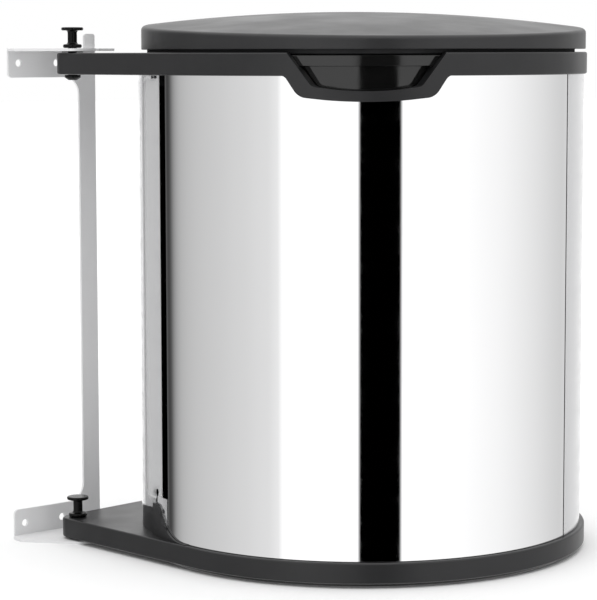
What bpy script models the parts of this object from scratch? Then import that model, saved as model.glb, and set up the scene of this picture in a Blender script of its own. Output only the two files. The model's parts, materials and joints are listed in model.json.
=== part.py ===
"""Built-in waste bin that swings out of a kitchen cabinet on a wall bracket.

Metres, +Z up. +X points away from the cabinet's side wall, which is the plane X = 0, and +Y points
into the cabinet. The origin is on the back of the bracket's lower flange, level with the pivot axis.
The bin is drawn around its drum axis: there an angle called phi is measured about the drum from the
middle of the finger recess, and it is negative towards the pivot.
"""

import math

import bmesh
import bpy
from mathutils import Vector

# Driving dimensions, in metres and degrees.
DRUM_RADIUS = 0.151  # outside of the steel cover
RING_TOP = 0.3365  # cabinet floor to the top of the ring
WALL_CLEARANCE = 0.01297  # cabinet's side wall to the base with the bin in the cabinet
PIVOT_FROM_BASE = 0.0415  # pivot axis to the round part of the base
GAP = 0.0003  # between pieces that touch
RUN = 0.001  # between pieces that turn past each other
PLAY = 0.0006  # round a shank in its bore

BRACKET_SHEET = 0.0018
PIVOT_FROM_WALL = 0.036
BRACKET_FRONT = -0.029  # near end of the flanges, from the pivot axis
BRACKET_REAR = 0.045
FLANGE_HEIGHT = 0.018
STRIP_WIDTH = 0.014
STRIP_FILLET = 0.012
FLANGE_CORNER = 0.003
WALL_HOLE_RADIUS = 0.0025
WALL_HOLE_PITCH = 0.032
WALL_HOLE_CENTRE = -0.0045  # middle of each pair of holes, from the pivot axis
PLATE_EAR = 0.016  # radius of the bracket plates round the pivot
PLATE_EAR_START = -35.0
PLATE_EAR_END = 80.0
PLATE_BULGE = 0.0046  # how far the plates' front edge bows out
PLATE_BULGE_OUT = 0.015  # distance of that bow from the wall
PLATE_BULGE_SHARE = 0.7  # of the bow, reached a third of the way out
FINGER_LENGTH = 0.016  # the top plate's tongue along the wall
FINGER_WIDTH = 0.007
STOP_TAB_WIDTH = 0.0088
STOP_TAB_HEIGHT = 0.0100
STOP_TAB_OUT = 0.023  # from the wall
STOP_TAB_BACK = 0.023  # from the pivot axis

SHANK_RADIUS = 0.003
PIN_HEIGHT = 0.014
PIN_HEAD_RADIUS = 0.0075
PIN_HEAD_THICKNESS = 0.0022
PIN_WAIST_RADIUS = 0.0032
PIN_FLANGE_RADIUS = 0.0064
PIN_FLANGE_THICKNESS = 0.0026
SNAP_RADIUS = 0.0055
SNAP_HEIGHT = 0.0035
COLLAR_RADIUS = 0.0072
COLLAR_THICKNESS = 0.0006

PLINTH_INSET = 0.006  # from the base's outline
BASE_BAND = 0.0135
BASE_PROUD = 0.0033  # outside the drum
BASE_FLOOR = 0.003
ARM_TIP_RADIUS = 0.0105
EDGE_ROUND = 0.0012
UPSTAND_WALL = 0.0022
UPSTAND_HEIGHT = 0.008
SEAT_HEIGHT = 0.0138  # above the base, at the pillar's rear edge
SEAT_RISE = 0.0044  # from there to the slit
GUSSET_HEIGHT = 0.0213
GUSSET_WALL = 0.0016
GUSSET_FALL = -63.3  # phi where its top starts to fall
GUSSET_END = -50.0
GUSSET_HOLLOW = 2.85  # how sharply its top falls
GUSSET_LIP = 0.0003  # height left at its end
GUSSET_FINE = 4  # finer steps along it

RING_BAND = 0.0146
RING_FIT = 0.00035  # between the drum and the skirt of the ring
RING_SKIRT = 0.00165
RING_DECK = 0.0023  # thickness of the ring's flat top
RING_INNER_WALL = 0.002
LEDGE_DROP = 0.009  # top of the ring down to the ledge that carries the bucket
LEDGE_WIDTH = 0.005
LEDGE_THICKNESS = 0.0022
DRUM_SPACE = 0.0039  # width of the ring's channel round the drum's top edge
TONGUE_DROP = 0.022  # ring top down to the end of the tongue behind the pillar

RECESS_TOP_WIDTH = 0.101
RECESS_BOTTOM_WIDTH = 0.070
RECESS_DEPTH = 0.024
RECESS_TAPER = 0.0065  # how much each side closes in over the recess's depth
HOOD_TOP_WIDTH = 0.116
HOOD_BOTTOM_WIDTH = 0.080
HOOD_DEPTH = 0.0305
RECESS_CORNER = 0.006
HOOD_LAP = 0.003  # how far the hood laps over the cover's cut edge

COVER_SHEET = 0.0008
COVER_START = -58.5  # phi of the front cover's edge beside the pillar
COVER_END = 61.4
SEAM_WIDTH = 0.0016
SEAM_STRIP_WIDTH = 0.018
SEAM_STRIP_SHEET = 0.001
SHELL_TO_PILLAR = 0.4  # degrees between the rear shell and the pillar

PILLAR_SHEET = 0.0008
PILLAR_START = -78.6
PILLAR_END = -61.7
FOOT_HEIGHT = 0.0265
FOOT_TO_COVER = 0.6  # degrees
SLIT_PHI = -65.3
SLIT_WIDTH = 0.0026
SLIT_HEIGHT = 0.0289
SLIT_HOLE_RADIUS = 0.0019

RIVET_HEAD_RADIUS = 0.0011
RIVET_SHANK_RADIUS = 0.0007
RIVET_PITCH = 0.0053
RIVET_PHI = -64.9  # middle of the two rivets
FOOT_SCREW_PHI = -61.0
FOOT_SCREW_HEIGHT = 0.0177
SCREW_HEAD_RADIUS = 0.0028
SCREW_HEAD_HEIGHT = 0.0016
SCREW_SHANK_RADIUS = 0.0014
SHELL_SCREW_HEIGHT = 0.004
SHELL_SCREW_PHI = (110.0, 170.0, 230.0)

BUCKET_WALL = 0.002
BUCKET_INSET = 0.00245  # side of the bucket from the ledge's bore
BUCKET_TAPER = 0.008  # smaller at the foot by this radius
BUCKET_FOOT = 0.005  # above the base's floor
BUCKET_LIP_HEIGHT = 0.0075
BUCKET_FOOT_ROUND = 0.010

LID_INSET = 0.0006  # edge of the lid from the drum's outside
LID_SHIFT = 0.0017  # the lid sits this far to one side
LID_LIFT = 0.002  # skirt above the ring
LID_WALL = 0.0022
LID_CROWN = 0.0267  # middle of the lid above the ring
LID_SLOPE = 0.007  # rise of the lid from its middle to its back edge
LID_LEAN = 0.00106  # fall of the lid from its middle to its side edge
LID_DOME = 0.0096  # fall from the middle to the edge
LID_ROUND = 0.003
LID_STATIONS = (0.0, 0.35, 0.7)  # shares of the radius where the dome is drawn
LID_RIB_INSET = 0.0034  # rib that carries the seal, in from the skirt
LID_RIB_WALL = 0.0024
SEAL_WIDTH = 0.004
SEAL_DROP = 0.0009  # below the ring's top, inside its bore

HINGE_BACK = 0.0055  # hinge axis behind the ring's skirt
HINGE_DROP = 0.0035  # hinge axis below the ring's top
HINGE_KNUCKLE_RADIUS = 0.0044
HINGE_ROD_RADIUS = 0.002
HINGE_TONGUE_WIDTH = 0.030
HINGE_LUG_WIDTH = 0.008
HINGE_STRAP = 0.003
HINGE_ROOT = 0.0016  # how far the strap reaches into the lid's skirt

CIRCLE_STEPS = 72
SMALL_STEPS = 20
CORNER_STEPS = 4
SHARP_ANGLE = 35.0
OUTLINE_RISE = 0.02  # how far the recess's outlines pass the ring's top
PILLAR_TONGUE_INSET = 1.0  # degrees in from the pillar's edges

# Sizes worked out from them.
WALL_HOLE_HEIGHT = FLANGE_HEIGHT / 2 + BRACKET_SHEET / 2
PLINTH_HEIGHT = BRACKET_SHEET + COLLAR_THICKNESS + 2 * GAP
BASE_TOP = PLINTH_HEIGHT + BASE_BAND
RING_LOW = RING_TOP - RING_BAND
SKIRT_INSIDE = DRUM_RADIUS + RING_FIT
RING_RADIUS = SKIRT_INSIDE + RING_SKIRT
CHANNEL_INSIDE = SKIRT_INSIDE - DRUM_SPACE
RING_BORE = CHANNEL_INSIDE - RING_INNER_WALL
LEDGE_BORE = RING_BORE - LEDGE_WIDTH
LEDGE_TOP = RING_TOP - LEDGE_DROP
CHANNEL_TOP = RING_TOP - RING_DECK
BASE_RADIUS = DRUM_RADIUS + BASE_PROUD
ARM_LENGTH = BASE_RADIUS + PIVOT_FROM_BASE
CLOSED_ANGLE = math.degrees(math.acos((WALL_CLEARANCE + BASE_RADIUS - PIVOT_FROM_WALL) / ARM_LENGTH))
DRUM_LOW = BASE_TOP + GAP
DRUM_HIGH = CHANNEL_TOP - GAP
UPSTAND_RADIUS = DRUM_RADIUS - PILLAR_SHEET - GAP
PLATE_TOP = RING_TOP + COLLAR_THICKNESS + 2 * GAP + BRACKET_SHEET
HINGE_OUT = RING_RADIUS + HINGE_BACK
HINGE_HEIGHT = RING_TOP - HINGE_DROP
BUCKET_TOP_RADIUS = LEDGE_BORE - BUCKET_INSET
LID_RADIUS = DRUM_RADIUS - LID_INSET
SHELL_END = 360 + PILLAR_START - SHELL_TO_PILLAR
SLIT_HALF = math.degrees(SLIT_WIDTH / 2 / DRUM_RADIUS)
FOOT_START = SLIT_PHI + SLIT_HALF
SEAT_END = SLIT_PHI - SLIT_HALF
RIVET_Z = RING_LOW - RIVET_HEAD_RADIUS - GAP
BORE_START = UPSTAND_RADIUS - 3 * UPSTAND_WALL


def point(radius, phi, height):
    """A point about the drum axis."""
    turn = math.radians(phi)
    return Vector((radius * math.sin(turn), -radius * math.cos(turn), height))


def flat(u, v, w):
    """Outlines drawn from above."""
    return Vector((u, v, w))


def facing_wall(u, v, w):
    """Outlines drawn on the cabinet's wall: u along Y, v up."""
    return Vector((w, u, v))


def facing_recess(u, v, w):
    """Outlines drawn from in front of the recess: u sideways, v up, w towards the viewer."""
    return Vector((u, -w, v))


def from_side(u, v, w):
    """Outlines drawn across the lid hinge: u towards the back, v up."""
    return Vector((w, u, v))


def clear_scene():
    for item in list(bpy.data.objects):
        bpy.data.objects.remove(item, do_unlink=True)


def material(name, colour, roughness, metallic):
    made = bpy.data.materials.new(name)
    made.use_nodes = True
    shader = made.node_tree.nodes["Principled BSDF"]
    shader.inputs["Base Color"].default_value = (*colour, 1.0)
    shader.inputs["Roughness"].default_value = roughness
    shader.inputs["Metallic"].default_value = metallic
    made.diffuse_color = (*colour, 1.0)
    return made


def empty(name, location, parent=None, turn=0.0):
    made = bpy.data.objects.new(name, None)
    made.location = location
    made.rotation_euler.z = math.radians(turn)
    made.parent = parent
    bpy.context.scene.collection.objects.link(made)
    return made


def solid(name, bm, place, finish=None):
    """An object from a bmesh. Its place is a parent empty and an offset from it."""
    parent, offset = place
    bmesh.ops.recalc_face_normals(bm, faces=bm.faces)
    mesh = bpy.data.meshes.new(name)
    bm.to_mesh(mesh)
    bm.free()
    mesh.shade_smooth()
    mesh.set_sharp_from_angle(angle=math.radians(SHARP_ANGLE))
    made = bpy.data.objects.new(name, mesh)
    made.parent = parent
    made.location = offset
    if finish:
        mesh.materials.append(finish)
    bpy.context.scene.collection.objects.link(made)
    return made


def combine(target, name, bm, operation):
    """Joins a shape to an object, or takes it away."""
    other = solid(name, bm, (target.parent, target.location.copy()))
    other.hide_render = True
    other.display_type = "WIRE"
    change = target.modifiers.new(name, "BOOLEAN")
    change.object = other
    change.operation = operation
    change.solver = "EXACT"


def join(target, name, bm):
    combine(target, name, bm, "UNION")


def cut(target, name, bm):
    combine(target, name, bm, "DIFFERENCE")


def keep_inside(target, name, bm):
    combine(target, name, bm, "INTERSECT")


def loft(rings, closed=False):
    """Skins rings of points with equal counts, and caps the two ends unless it is closed."""
    bm = bmesh.new()
    rows = [[bm.verts.new(spot) for spot in ring] for ring in rings]
    pairs = list(zip(rows, rows[1:]))
    if closed:
        pairs.append((rows[-1], rows[0]))
    for low, high in pairs:
        count = len(low)
        for i in range(count):
            j = (i + 1) % count
            bm.faces.new((low[i], low[j], high[j], high[i]))
    if not closed:
        bm.faces.new(rows[0])
        bm.faces.new(rows[-1])
    return bm


def prism(outline, low, high, view):
    return loft([[view(u, v, w) for u, v in outline] for w in (low, high)])


def turned(profile, steps=CIRCLE_STEPS, centre=(0.0, 0.0)):
    """Turns a profile of radius and height about a vertical axis. A radius of 0 is a pole."""
    bm = bmesh.new()
    columns = []
    for radius, height in profile:
        if radius == 0:
            columns.append([bm.verts.new((*centre, height))] * steps)
            continue
        ring = []
        for i in range(steps):
            spot = point(radius, 360 * i / steps, height) + Vector((*centre, 0.0))
            ring.append(bm.verts.new(spot))
        columns.append(ring)
    for low, high in zip(columns, columns[1:] + columns[:1]):
        for i in range(steps):
            j = (i + 1) % steps
            corners = list(dict.fromkeys((low[i], low[j], high[j], high[i])))
            if len(corners) > 2:
                bm.faces.new(corners)
    return bm


def turned_about(profile, phi, height, steps=SMALL_STEPS):
    """Turns a profile of radius and distance from the drum axis about a level line out from it."""
    out = point(1.0, phi, 0.0)
    side = Vector((-out.y, out.x, 0.0))
    up = Vector((0.0, 0.0, 1.0))
    bm = turned(profile, steps)
    for vert in bm.verts:
        x, y, along = vert.co
        vert.co = out * along + side * x + up * (height + y)
    return bm


def spread(start, end, fine=1):
    """Even angles between two, no further apart than the circle's steps."""
    steps = max(2, round(abs(end - start) * fine * CIRCLE_STEPS / 360))
    return [start + (end - start) * i / steps for i in range(steps + 1)]


def curved(inner, outer, start, end, low, high):
    """Part of a tube about the drum axis, between two angles."""
    return curved_through(inner, outer, spread(start, end), low, high)


def curved_through(inner, outer, phis, low, high):
    """Part of a tube about the drum axis through given angles. Its heights may follow phi."""
    rings = []
    for phi in phis:
        bottom = low(phi) if callable(low) else low
        top = high(phi) if callable(high) else high
        rings.append(
            [
                point(inner, phi, bottom),
                point(outer, phi, bottom),
                point(outer, phi, top),
                point(inner, phi, top),
            ]
        )
    return loft(rings)


def arc(centre, radius, start, end, steps):
    """Points on an arc, with its angles measured from +X."""
    points = []
    for i in range(steps + 1):
        turn = math.radians(start + (end - start) * i / steps)
        points.append((centre[0] + radius * math.cos(turn), centre[1] + radius * math.sin(turn)))
    return points


def rounded(corners):
    """An outline from corners, each of which has a radius."""
    outline = []
    count = len(corners)
    for i, (x, y, radius) in enumerate(corners):
        here = Vector((x, y))
        before = (Vector(corners[i - 1][:2]) - here).normalized()
        after = (Vector(corners[(i + 1) % count][:2]) - here).normalized()
        if radius == 0:
            outline.append((x, y))
            continue
        half = before.angle(after) / 2
        reach = radius / math.tan(half)
        centre = here + (before + after).normalized() * (radius / math.sin(half))
        first = here + before * reach - centre
        last = here + after * reach - centre
        turn = first.angle_signed(last)
        for step in range(CORNER_STEPS + 1):
            share = turn * step / CORNER_STEPS
            across = Vector((-first.y, first.x))
            spot = centre + first * math.cos(share) - across * math.sin(share)
            outline.append((spot.x, spot.y))
    return outline


def teardrop(radius, tip):
    """Outline round the drum and the pivot, with straight sides between."""
    touch = math.degrees(math.acos((tip - radius) / ARM_LENGTH))
    big = arc((0.0, 0.0), radius, -touch, touch, round(CIRCLE_STEPS * touch / 180))
    small = arc((-ARM_LENGTH, 0.0), tip, touch, 360 - touch, 2 * CORNER_STEPS)
    return big + small


def teardrop_slab(radius, tip, low, high):
    """Teardrop plate with its edges rounded."""
    edge = EDGE_ROUND
    rings = []
    for step in range(3):
        turn = math.radians(45 * step)
        rings.append((edge * (1 - math.sin(turn)), low + edge * (1 - math.cos(turn))))
    for step in range(3):
        turn = math.radians(45 * step)
        rings.append((edge * (1 - math.cos(turn)), high - edge * (1 - math.sin(turn))))
    levels = []
    for inset, height in rings:
        levels.append([flat(u, v, height) for u, v in teardrop(radius - inset, tip - inset)])
    return loft(levels)


def bore(low, high, radius=SHANK_RADIUS + PLAY, centre=(-ARM_LENGTH, 0.0)):
    return turned([(0, low), (radius, low), (radius, high), (0, high)], SMALL_STEPS, centre)


def trapezoid(top_width, bottom_width, depth, shrink=0.0):
    """Outline of the recess or its hood, seen from the front and open upwards past the ring's top."""
    top = top_width / 2 - shrink
    bottom = bottom_width / 2 - shrink
    flare = (top - bottom) / (depth - shrink) * OUTLINE_RISE
    low = RING_TOP - depth + shrink
    return rounded(
        [
            (top + flare, RING_TOP + OUTLINE_RISE, 0),
            (-top - flare, RING_TOP + OUTLINE_RISE, 0),
            (-bottom, low, RECESS_CORNER),
            (bottom, low, RECESS_CORNER),
        ]
    )


# The bracket and its pins, drawn about the pivot axis or from the wall.


def plate_outline(finger):
    """A bracket plate from above: from the wall out round the pivot."""
    front = [
        (0.0, BRACKET_FRONT),
        (PLATE_BULGE_OUT / 3, BRACKET_FRONT - PLATE_BULGE * PLATE_BULGE_SHARE),
        (PLATE_BULGE_OUT, BRACKET_FRONT - PLATE_BULGE),
    ]
    ear = arc((PIVOT_FROM_WALL, 0.0), PLATE_EAR, PLATE_EAR_START, PLATE_EAR_END, 2 * CORNER_STEPS)
    if not finger:
        return front + ear + [(FINGER_WIDTH, BRACKET_REAR), (0.0, BRACKET_REAR)]
    tip = BRACKET_REAR + FINGER_LENGTH
    step = BRACKET_REAR + FINGER_LENGTH / 2
    tongue = [
        (FINGER_WIDTH, BRACKET_REAR),
        (FINGER_WIDTH, step),
        (FINGER_WIDTH / 2, step),
        (FINGER_WIDTH / 2, tip),
        (0.0, tip),
    ]
    return front + ear + tongue


def make_bracket(place, finish):
    inside = BRACKET_REAR - STRIP_WIDTH
    upper_low = PLATE_TOP - FLANGE_HEIGHT - BRACKET_SHEET
    lower_high = FLANGE_HEIGHT + BRACKET_SHEET
    sheet = rounded(
        [
            (BRACKET_FRONT, 0.0, 0),
            (BRACKET_REAR, 0.0, 0),
            (BRACKET_REAR, PLATE_TOP, 0),
            (BRACKET_FRONT, PLATE_TOP, 0),
            (BRACKET_FRONT, upper_low, FLANGE_CORNER),
            (inside, upper_low, STRIP_FILLET),
            (inside, lower_high, STRIP_FILLET),
            (BRACKET_FRONT, lower_high, FLANGE_CORNER),
        ]
    )
    bracket = solid("wall_bracket", prism(sheet, 0.0, BRACKET_SHEET, facing_wall), place, finish)
    lower = prism(plate_outline(False), 0.0, BRACKET_SHEET, flat)
    join(bracket, "add_lower_plate", lower)
    upper = prism(plate_outline(True), PLATE_TOP - BRACKET_SHEET, PLATE_TOP, flat)
    join(bracket, "add_upper_plate", upper)
    tab = rounded(
        [
            (STOP_TAB_BACK - STOP_TAB_WIDTH / 2, PLATE_TOP - BRACKET_SHEET / 2, 0),
            (STOP_TAB_BACK + STOP_TAB_WIDTH / 2, PLATE_TOP - BRACKET_SHEET / 2, 0),
            (STOP_TAB_BACK + STOP_TAB_WIDTH / 2, PLATE_TOP + STOP_TAB_HEIGHT, BRACKET_SHEET),
            (STOP_TAB_BACK - STOP_TAB_WIDTH / 2, PLATE_TOP + STOP_TAB_HEIGHT, BRACKET_SHEET),
        ]
    )
    stop = prism(tab, STOP_TAB_OUT, STOP_TAB_OUT + BRACKET_SHEET, facing_wall)
    join(bracket, "add_stop_tab", stop)
    for end, middle in (("lower", WALL_HOLE_HEIGHT), ("upper", PLATE_TOP - WALL_HOLE_HEIGHT)):
        for side in (-1, 1):
            centre = (WALL_HOLE_CENTRE + side * WALL_HOLE_PITCH / 2, middle)
            ring = arc(centre, WALL_HOLE_RADIUS, 0, 360, SMALL_STEPS)[:-1]
            hole = prism(ring, -BRACKET_SHEET, 2 * BRACKET_SHEET, facing_wall)
            cut(bracket, f"cut_{end}_wall_hole_{side}", hole)
    pivot = (PIVOT_FROM_WALL, 0.0)
    cut(bracket, "cut_lower_pin_hole", bore(-RUN, 2 * BRACKET_SHEET, centre=pivot))
    above = PLATE_TOP + RUN
    cut(bracket, "cut_upper_pin_hole", bore(PLATE_TOP - 2 * BRACKET_SHEET, above, centre=pivot))


def pin_profile(seat, shank_low, snap):
    """A spool-shaped head on a shank, which may end in a snap that is wider than its bore."""
    top = seat + PIN_HEIGHT
    under_head = top - PIN_HEAD_THICKNESS
    flange = seat + PIN_FLANGE_THICKNESS
    edge = PIN_HEAD_THICKNESS / 3
    profile = [(0, shank_low)]
    if snap:
        profile += [
            (SHANK_RADIUS, shank_low),
            (SNAP_RADIUS, shank_low + SNAP_HEIGHT / 2),
            (SNAP_RADIUS, shank_low + SNAP_HEIGHT - edge),
            (SNAP_RADIUS - edge, shank_low + SNAP_HEIGHT),
            (SHANK_RADIUS, shank_low + SNAP_HEIGHT),
        ]
    else:
        profile.append((SHANK_RADIUS, shank_low))
    profile += [
        (SHANK_RADIUS, seat),
        (PIN_FLANGE_RADIUS - edge, seat),
        (PIN_FLANGE_RADIUS, seat + PIN_FLANGE_THICKNESS / 2),
        (PIN_WAIST_RADIUS + edge, flange),
        (PIN_WAIST_RADIUS, flange + PIN_FLANGE_THICKNESS / 2),
        (PIN_WAIST_RADIUS, under_head - PIN_HEAD_THICKNESS),
        (PIN_WAIST_RADIUS + 2 * edge, under_head),
        (PIN_HEAD_RADIUS - edge, under_head),
        (PIN_HEAD_RADIUS, under_head + edge),
        (PIN_HEAD_RADIUS, top - edge),
        (PIN_HEAD_RADIUS - edge, top),
        (0, top),
    ]
    return profile


def make_pins(place, finish):
    upper = pin_profile(PLATE_TOP + GAP, RING_LOW - GAP - SNAP_HEIGHT, True)
    solid("upper_pivot_pin", turned(upper, SMALL_STEPS), place, finish)
    lower = pin_profile(BASE_TOP + GAP, GAP, False)
    solid("lower_pivot_pin", turned(lower, SMALL_STEPS), place, finish)
    inner = SHANK_RADIUS + PLAY
    for name, low in (
        ("upper_pivot_collar", RING_TOP + GAP),
        ("lower_pivot_collar", BRACKET_SHEET + GAP),
    ):
        high = low + COLLAR_THICKNESS
        ring = [(inner, low), (COLLAR_RADIUS, low), (COLLAR_RADIUS, high), (inner, high)]
        solid(name, turned(ring, SMALL_STEPS), place, finish)


# The bin, drawn about its drum axis.


def seat_top(phi):
    """Top of the wall below the pillar, which rises towards the slit."""
    share = (phi - PILLAR_START) / (SLIT_PHI - PILLAR_START)
    return BASE_TOP + SEAT_HEIGHT + SEAT_RISE * share


def pillar_low(phi):
    return seat_top(phi) + GAP


def gusset_top(phi):
    """Top of the gusset: level beside the slit, then falling in a hollow curve to the rim."""
    if phi <= GUSSET_FALL:
        return BASE_TOP + GUSSET_HEIGHT
    left = (GUSSET_END - phi) / (GUSSET_END - GUSSET_FALL)
    return BASE_TOP + GUSSET_HEIGHT * left**GUSSET_HOLLOW + GUSSET_LIP


def make_base(place, finish):
    slab = teardrop_slab(BASE_RADIUS, ARM_TIP_RADIUS, PLINTH_HEIGHT, BASE_TOP)
    base = solid("base_plate", slab, place, finish)
    plinth = BASE_RADIUS - PLINTH_INSET
    foot = [
        (0, 0),
        (plinth - EDGE_ROUND, 0),
        (plinth, EDGE_ROUND),
        (plinth, BASE_TOP / 2),
        (0, BASE_TOP / 2),
    ]
    join(base, "add_plinth", turned(foot))
    inside = UPSTAND_RADIUS - UPSTAND_WALL
    well = [(0, BASE_FLOOR), (inside, BASE_FLOOR), (inside, 2 * BASE_TOP), (0, 2 * BASE_TOP)]
    cut(base, "cut_well", turned(well))
    sunk = BASE_TOP - EDGE_ROUND
    upstand = [
        (inside, sunk),
        (UPSTAND_RADIUS, sunk),
        (UPSTAND_RADIUS, BASE_TOP + UPSTAND_HEIGHT),
        (inside, BASE_TOP + UPSTAND_HEIGHT),
    ]
    join(base, "add_upstand", turned(upstand))
    outer = DRUM_RADIUS + GAP
    below = spread(PILLAR_START, SEAT_END)
    seat = curved_through(inside - GAP, outer + GAP, below, sunk, seat_top)
    join(base, "add_pillar_seat", seat)
    beside = SEAT_END - SLIT_HALF
    fall = spread(beside, GUSSET_END, GUSSET_FINE)
    gusset = curved_through(outer, outer + GUSSET_WALL, fall, sunk, gusset_top)
    join(base, "add_gusset", gusset)
    behind_foot = curved(inside, UPSTAND_RADIUS, beside, COVER_START, sunk, BASE_TOP + FOOT_HEIGHT - RUN)
    join(base, "add_foot_backing", behind_foot)
    cut(base, "cut_pivot_bore", bore(0.0, 2 * BASE_TOP))
    cut(base, "cut_foot_screw_bore", screw_bore(FOOT_SCREW_PHI, FOOT_SCREW_HEIGHT))
    for i, phi in enumerate(SHELL_SCREW_PHI, 1):
        cut(base, f"cut_shell_screw_bore_{i}", screw_bore(phi, SHELL_SCREW_HEIGHT))


def shank_bore(shank_radius, phi, height):
    """Level bore for a fastener through the drum's wall and what stands behind it."""
    radius = shank_radius + GAP
    high = DRUM_RADIUS + RUN
    profile = [(0, BORE_START), (radius, BORE_START), (radius, high), (0, high)]
    return turned_about(profile, phi, height)


def screw_bore(phi, height):
    return shank_bore(SCREW_SHANK_RADIUS, phi, BASE_TOP + height)


def make_ring(place, finish):
    slab = teardrop_slab(RING_RADIUS, ARM_TIP_RADIUS, RING_LOW, RING_TOP)
    ring = solid("top_ring", slab, place, finish)
    below = RING_LOW - RUN
    above = RING_TOP + RUN
    hollow = [
        (0, below),
        (SKIRT_INSIDE, below),
        (SKIRT_INSIDE, CHANNEL_TOP),
        (CHANNEL_INSIDE, CHANNEL_TOP),
        (CHANNEL_INSIDE, LEDGE_TOP - LEDGE_THICKNESS),
        (LEDGE_BORE, LEDGE_TOP - LEDGE_THICKNESS),
        (LEDGE_BORE, LEDGE_TOP),
        (RING_BORE, LEDGE_TOP),
        (RING_BORE, above),
        (0, above),
    ]
    cut(ring, "cut_hollow", turned(hollow))
    widest = 2 * math.degrees(math.asin(HOOD_TOP_WIDTH / 2 / RING_RADIUS))
    hood_low = RING_TOP - HOOD_DEPTH - RUN
    deck = RING_TOP - EDGE_ROUND
    skirt = curved(SKIRT_INSIDE, RING_RADIUS, -widest, widest, hood_low, deck)
    skirt_part = solid("part_hood_skirt", skirt, place)
    outline = trapezoid(HOOD_TOP_WIDTH, HOOD_BOTTOM_WIDTH, HOOD_DEPTH)
    keep_inside(skirt_part, "keep_hood", prism(outline, 0.0, 2 * RING_RADIUS, facing_recess))
    add_part(ring, skirt_part)
    shrunk = trapezoid(HOOD_TOP_WIDTH, HOOD_BOTTOM_WIDTH, HOOD_DEPTH, HOOD_LAP)
    middle = SKIRT_INSIDE + RING_SKIRT / 2
    for name, inner, top in (("lining", LEDGE_BORE, LEDGE_TOP), ("jamb", RING_BORE, deck)):
        lining = solid(f"part_hood_{name}", curved(inner, middle, -widest, widest, hood_low, top), place)
        keep_inside(lining, f"keep_{name}", prism(shrunk, 0.0, 2 * RING_RADIUS, facing_recess))
        add_part(ring, lining)
    cut(ring, "cut_recess", recess_cutter())
    tongue_low = RING_TOP - TONGUE_DROP
    tongue_high = CHANNEL_TOP + RING_DECK / 2
    tongue = curved(
        CHANNEL_INSIDE - RING_INNER_WALL / 2,
        UPSTAND_RADIUS,
        PILLAR_START + PILLAR_TONGUE_INSET,
        PILLAR_END - PILLAR_TONGUE_INSET,
        tongue_low,
        tongue_high,
    )
    join(ring, "add_pillar_tongue", tongue)
    for side in (-1, 1):
        cut(ring, f"cut_rivet_bore_{side}", rivet_bore(side))
        join(ring, f"add_hinge_lug_{side}", hinge_lug(side))
        cut(ring, f"cut_hinge_bore_{side}", hinge_bore())
    cut(ring, "cut_pivot_bore", bore(below, above))


def add_part(target, part):
    """Joins an object that has its own cuts."""
    part.hide_render = True
    part.display_type = "WIRE"
    change = target.modifiers.new(part.name, "BOOLEAN")
    change.object = part
    change.operation = "UNION"
    change.solver = "EXACT"


def recess_cutter():
    """The finger recess, which closes in towards the bucket."""
    outside = trapezoid(RECESS_TOP_WIDTH, RECESS_BOTTOM_WIDTH, RECESS_DEPTH)
    inside = trapezoid(
        RECESS_TOP_WIDTH - 2 * RECESS_TAPER, RECESS_BOTTOM_WIDTH - 2 * RECESS_TAPER, RECESS_DEPTH
    )
    front = RING_RADIUS + RUN
    back = LEDGE_BORE * math.cos(math.asin(RECESS_TOP_WIDTH / 2 / LEDGE_BORE)) - RUN
    rings = [
        [facing_recess(u, v, back) for u, v in inside],
        [facing_recess(u, v, front) for u, v in outside],
    ]
    return loft(rings)


def rivet_phi(side):
    return RIVET_PHI + side * math.degrees(RIVET_PITCH / 2 / DRUM_RADIUS)


def rivet_bore(side):
    return shank_bore(RIVET_SHANK_RADIUS, rivet_phi(side), RIVET_Z)


def hinge_lug(side):
    """Ear behind the ring that holds one end of the lid's rod."""
    inner = HINGE_TONGUE_WIDTH / 2 + RUN
    outer = inner + HINGE_LUG_WIDTH
    start = SKIRT_INSIDE + RING_SKIRT / 2
    low = HINGE_HEIGHT - HINGE_KNUCKLE_RADIUS
    knuckle = arc((HINGE_OUT, HINGE_HEIGHT), HINGE_KNUCKLE_RADIUS, -90, 90, 2 * CORNER_STEPS)
    root = math.sqrt(start**2 - outer**2)
    outline = [(root, low)] + knuckle + [(root, HINGE_HEIGHT + HINGE_KNUCKLE_RADIUS)]
    ends = sorted((side * inner, side * outer))
    return prism(clip_above(outline, RING_TOP - EDGE_ROUND / 2), *ends, from_side)


def clip_above(outline, height):
    """The outline with what stands above a height pressed down to it."""
    return [(u, min(v, height)) for u, v in outline]


def hinge_bore():
    ring = arc((HINGE_OUT, HINGE_HEIGHT), HINGE_ROD_RADIUS + GAP, 0, 360, SMALL_STEPS)[:-1]
    reach = HINGE_TONGUE_WIDTH
    return prism(ring, -reach, reach, from_side)


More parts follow.
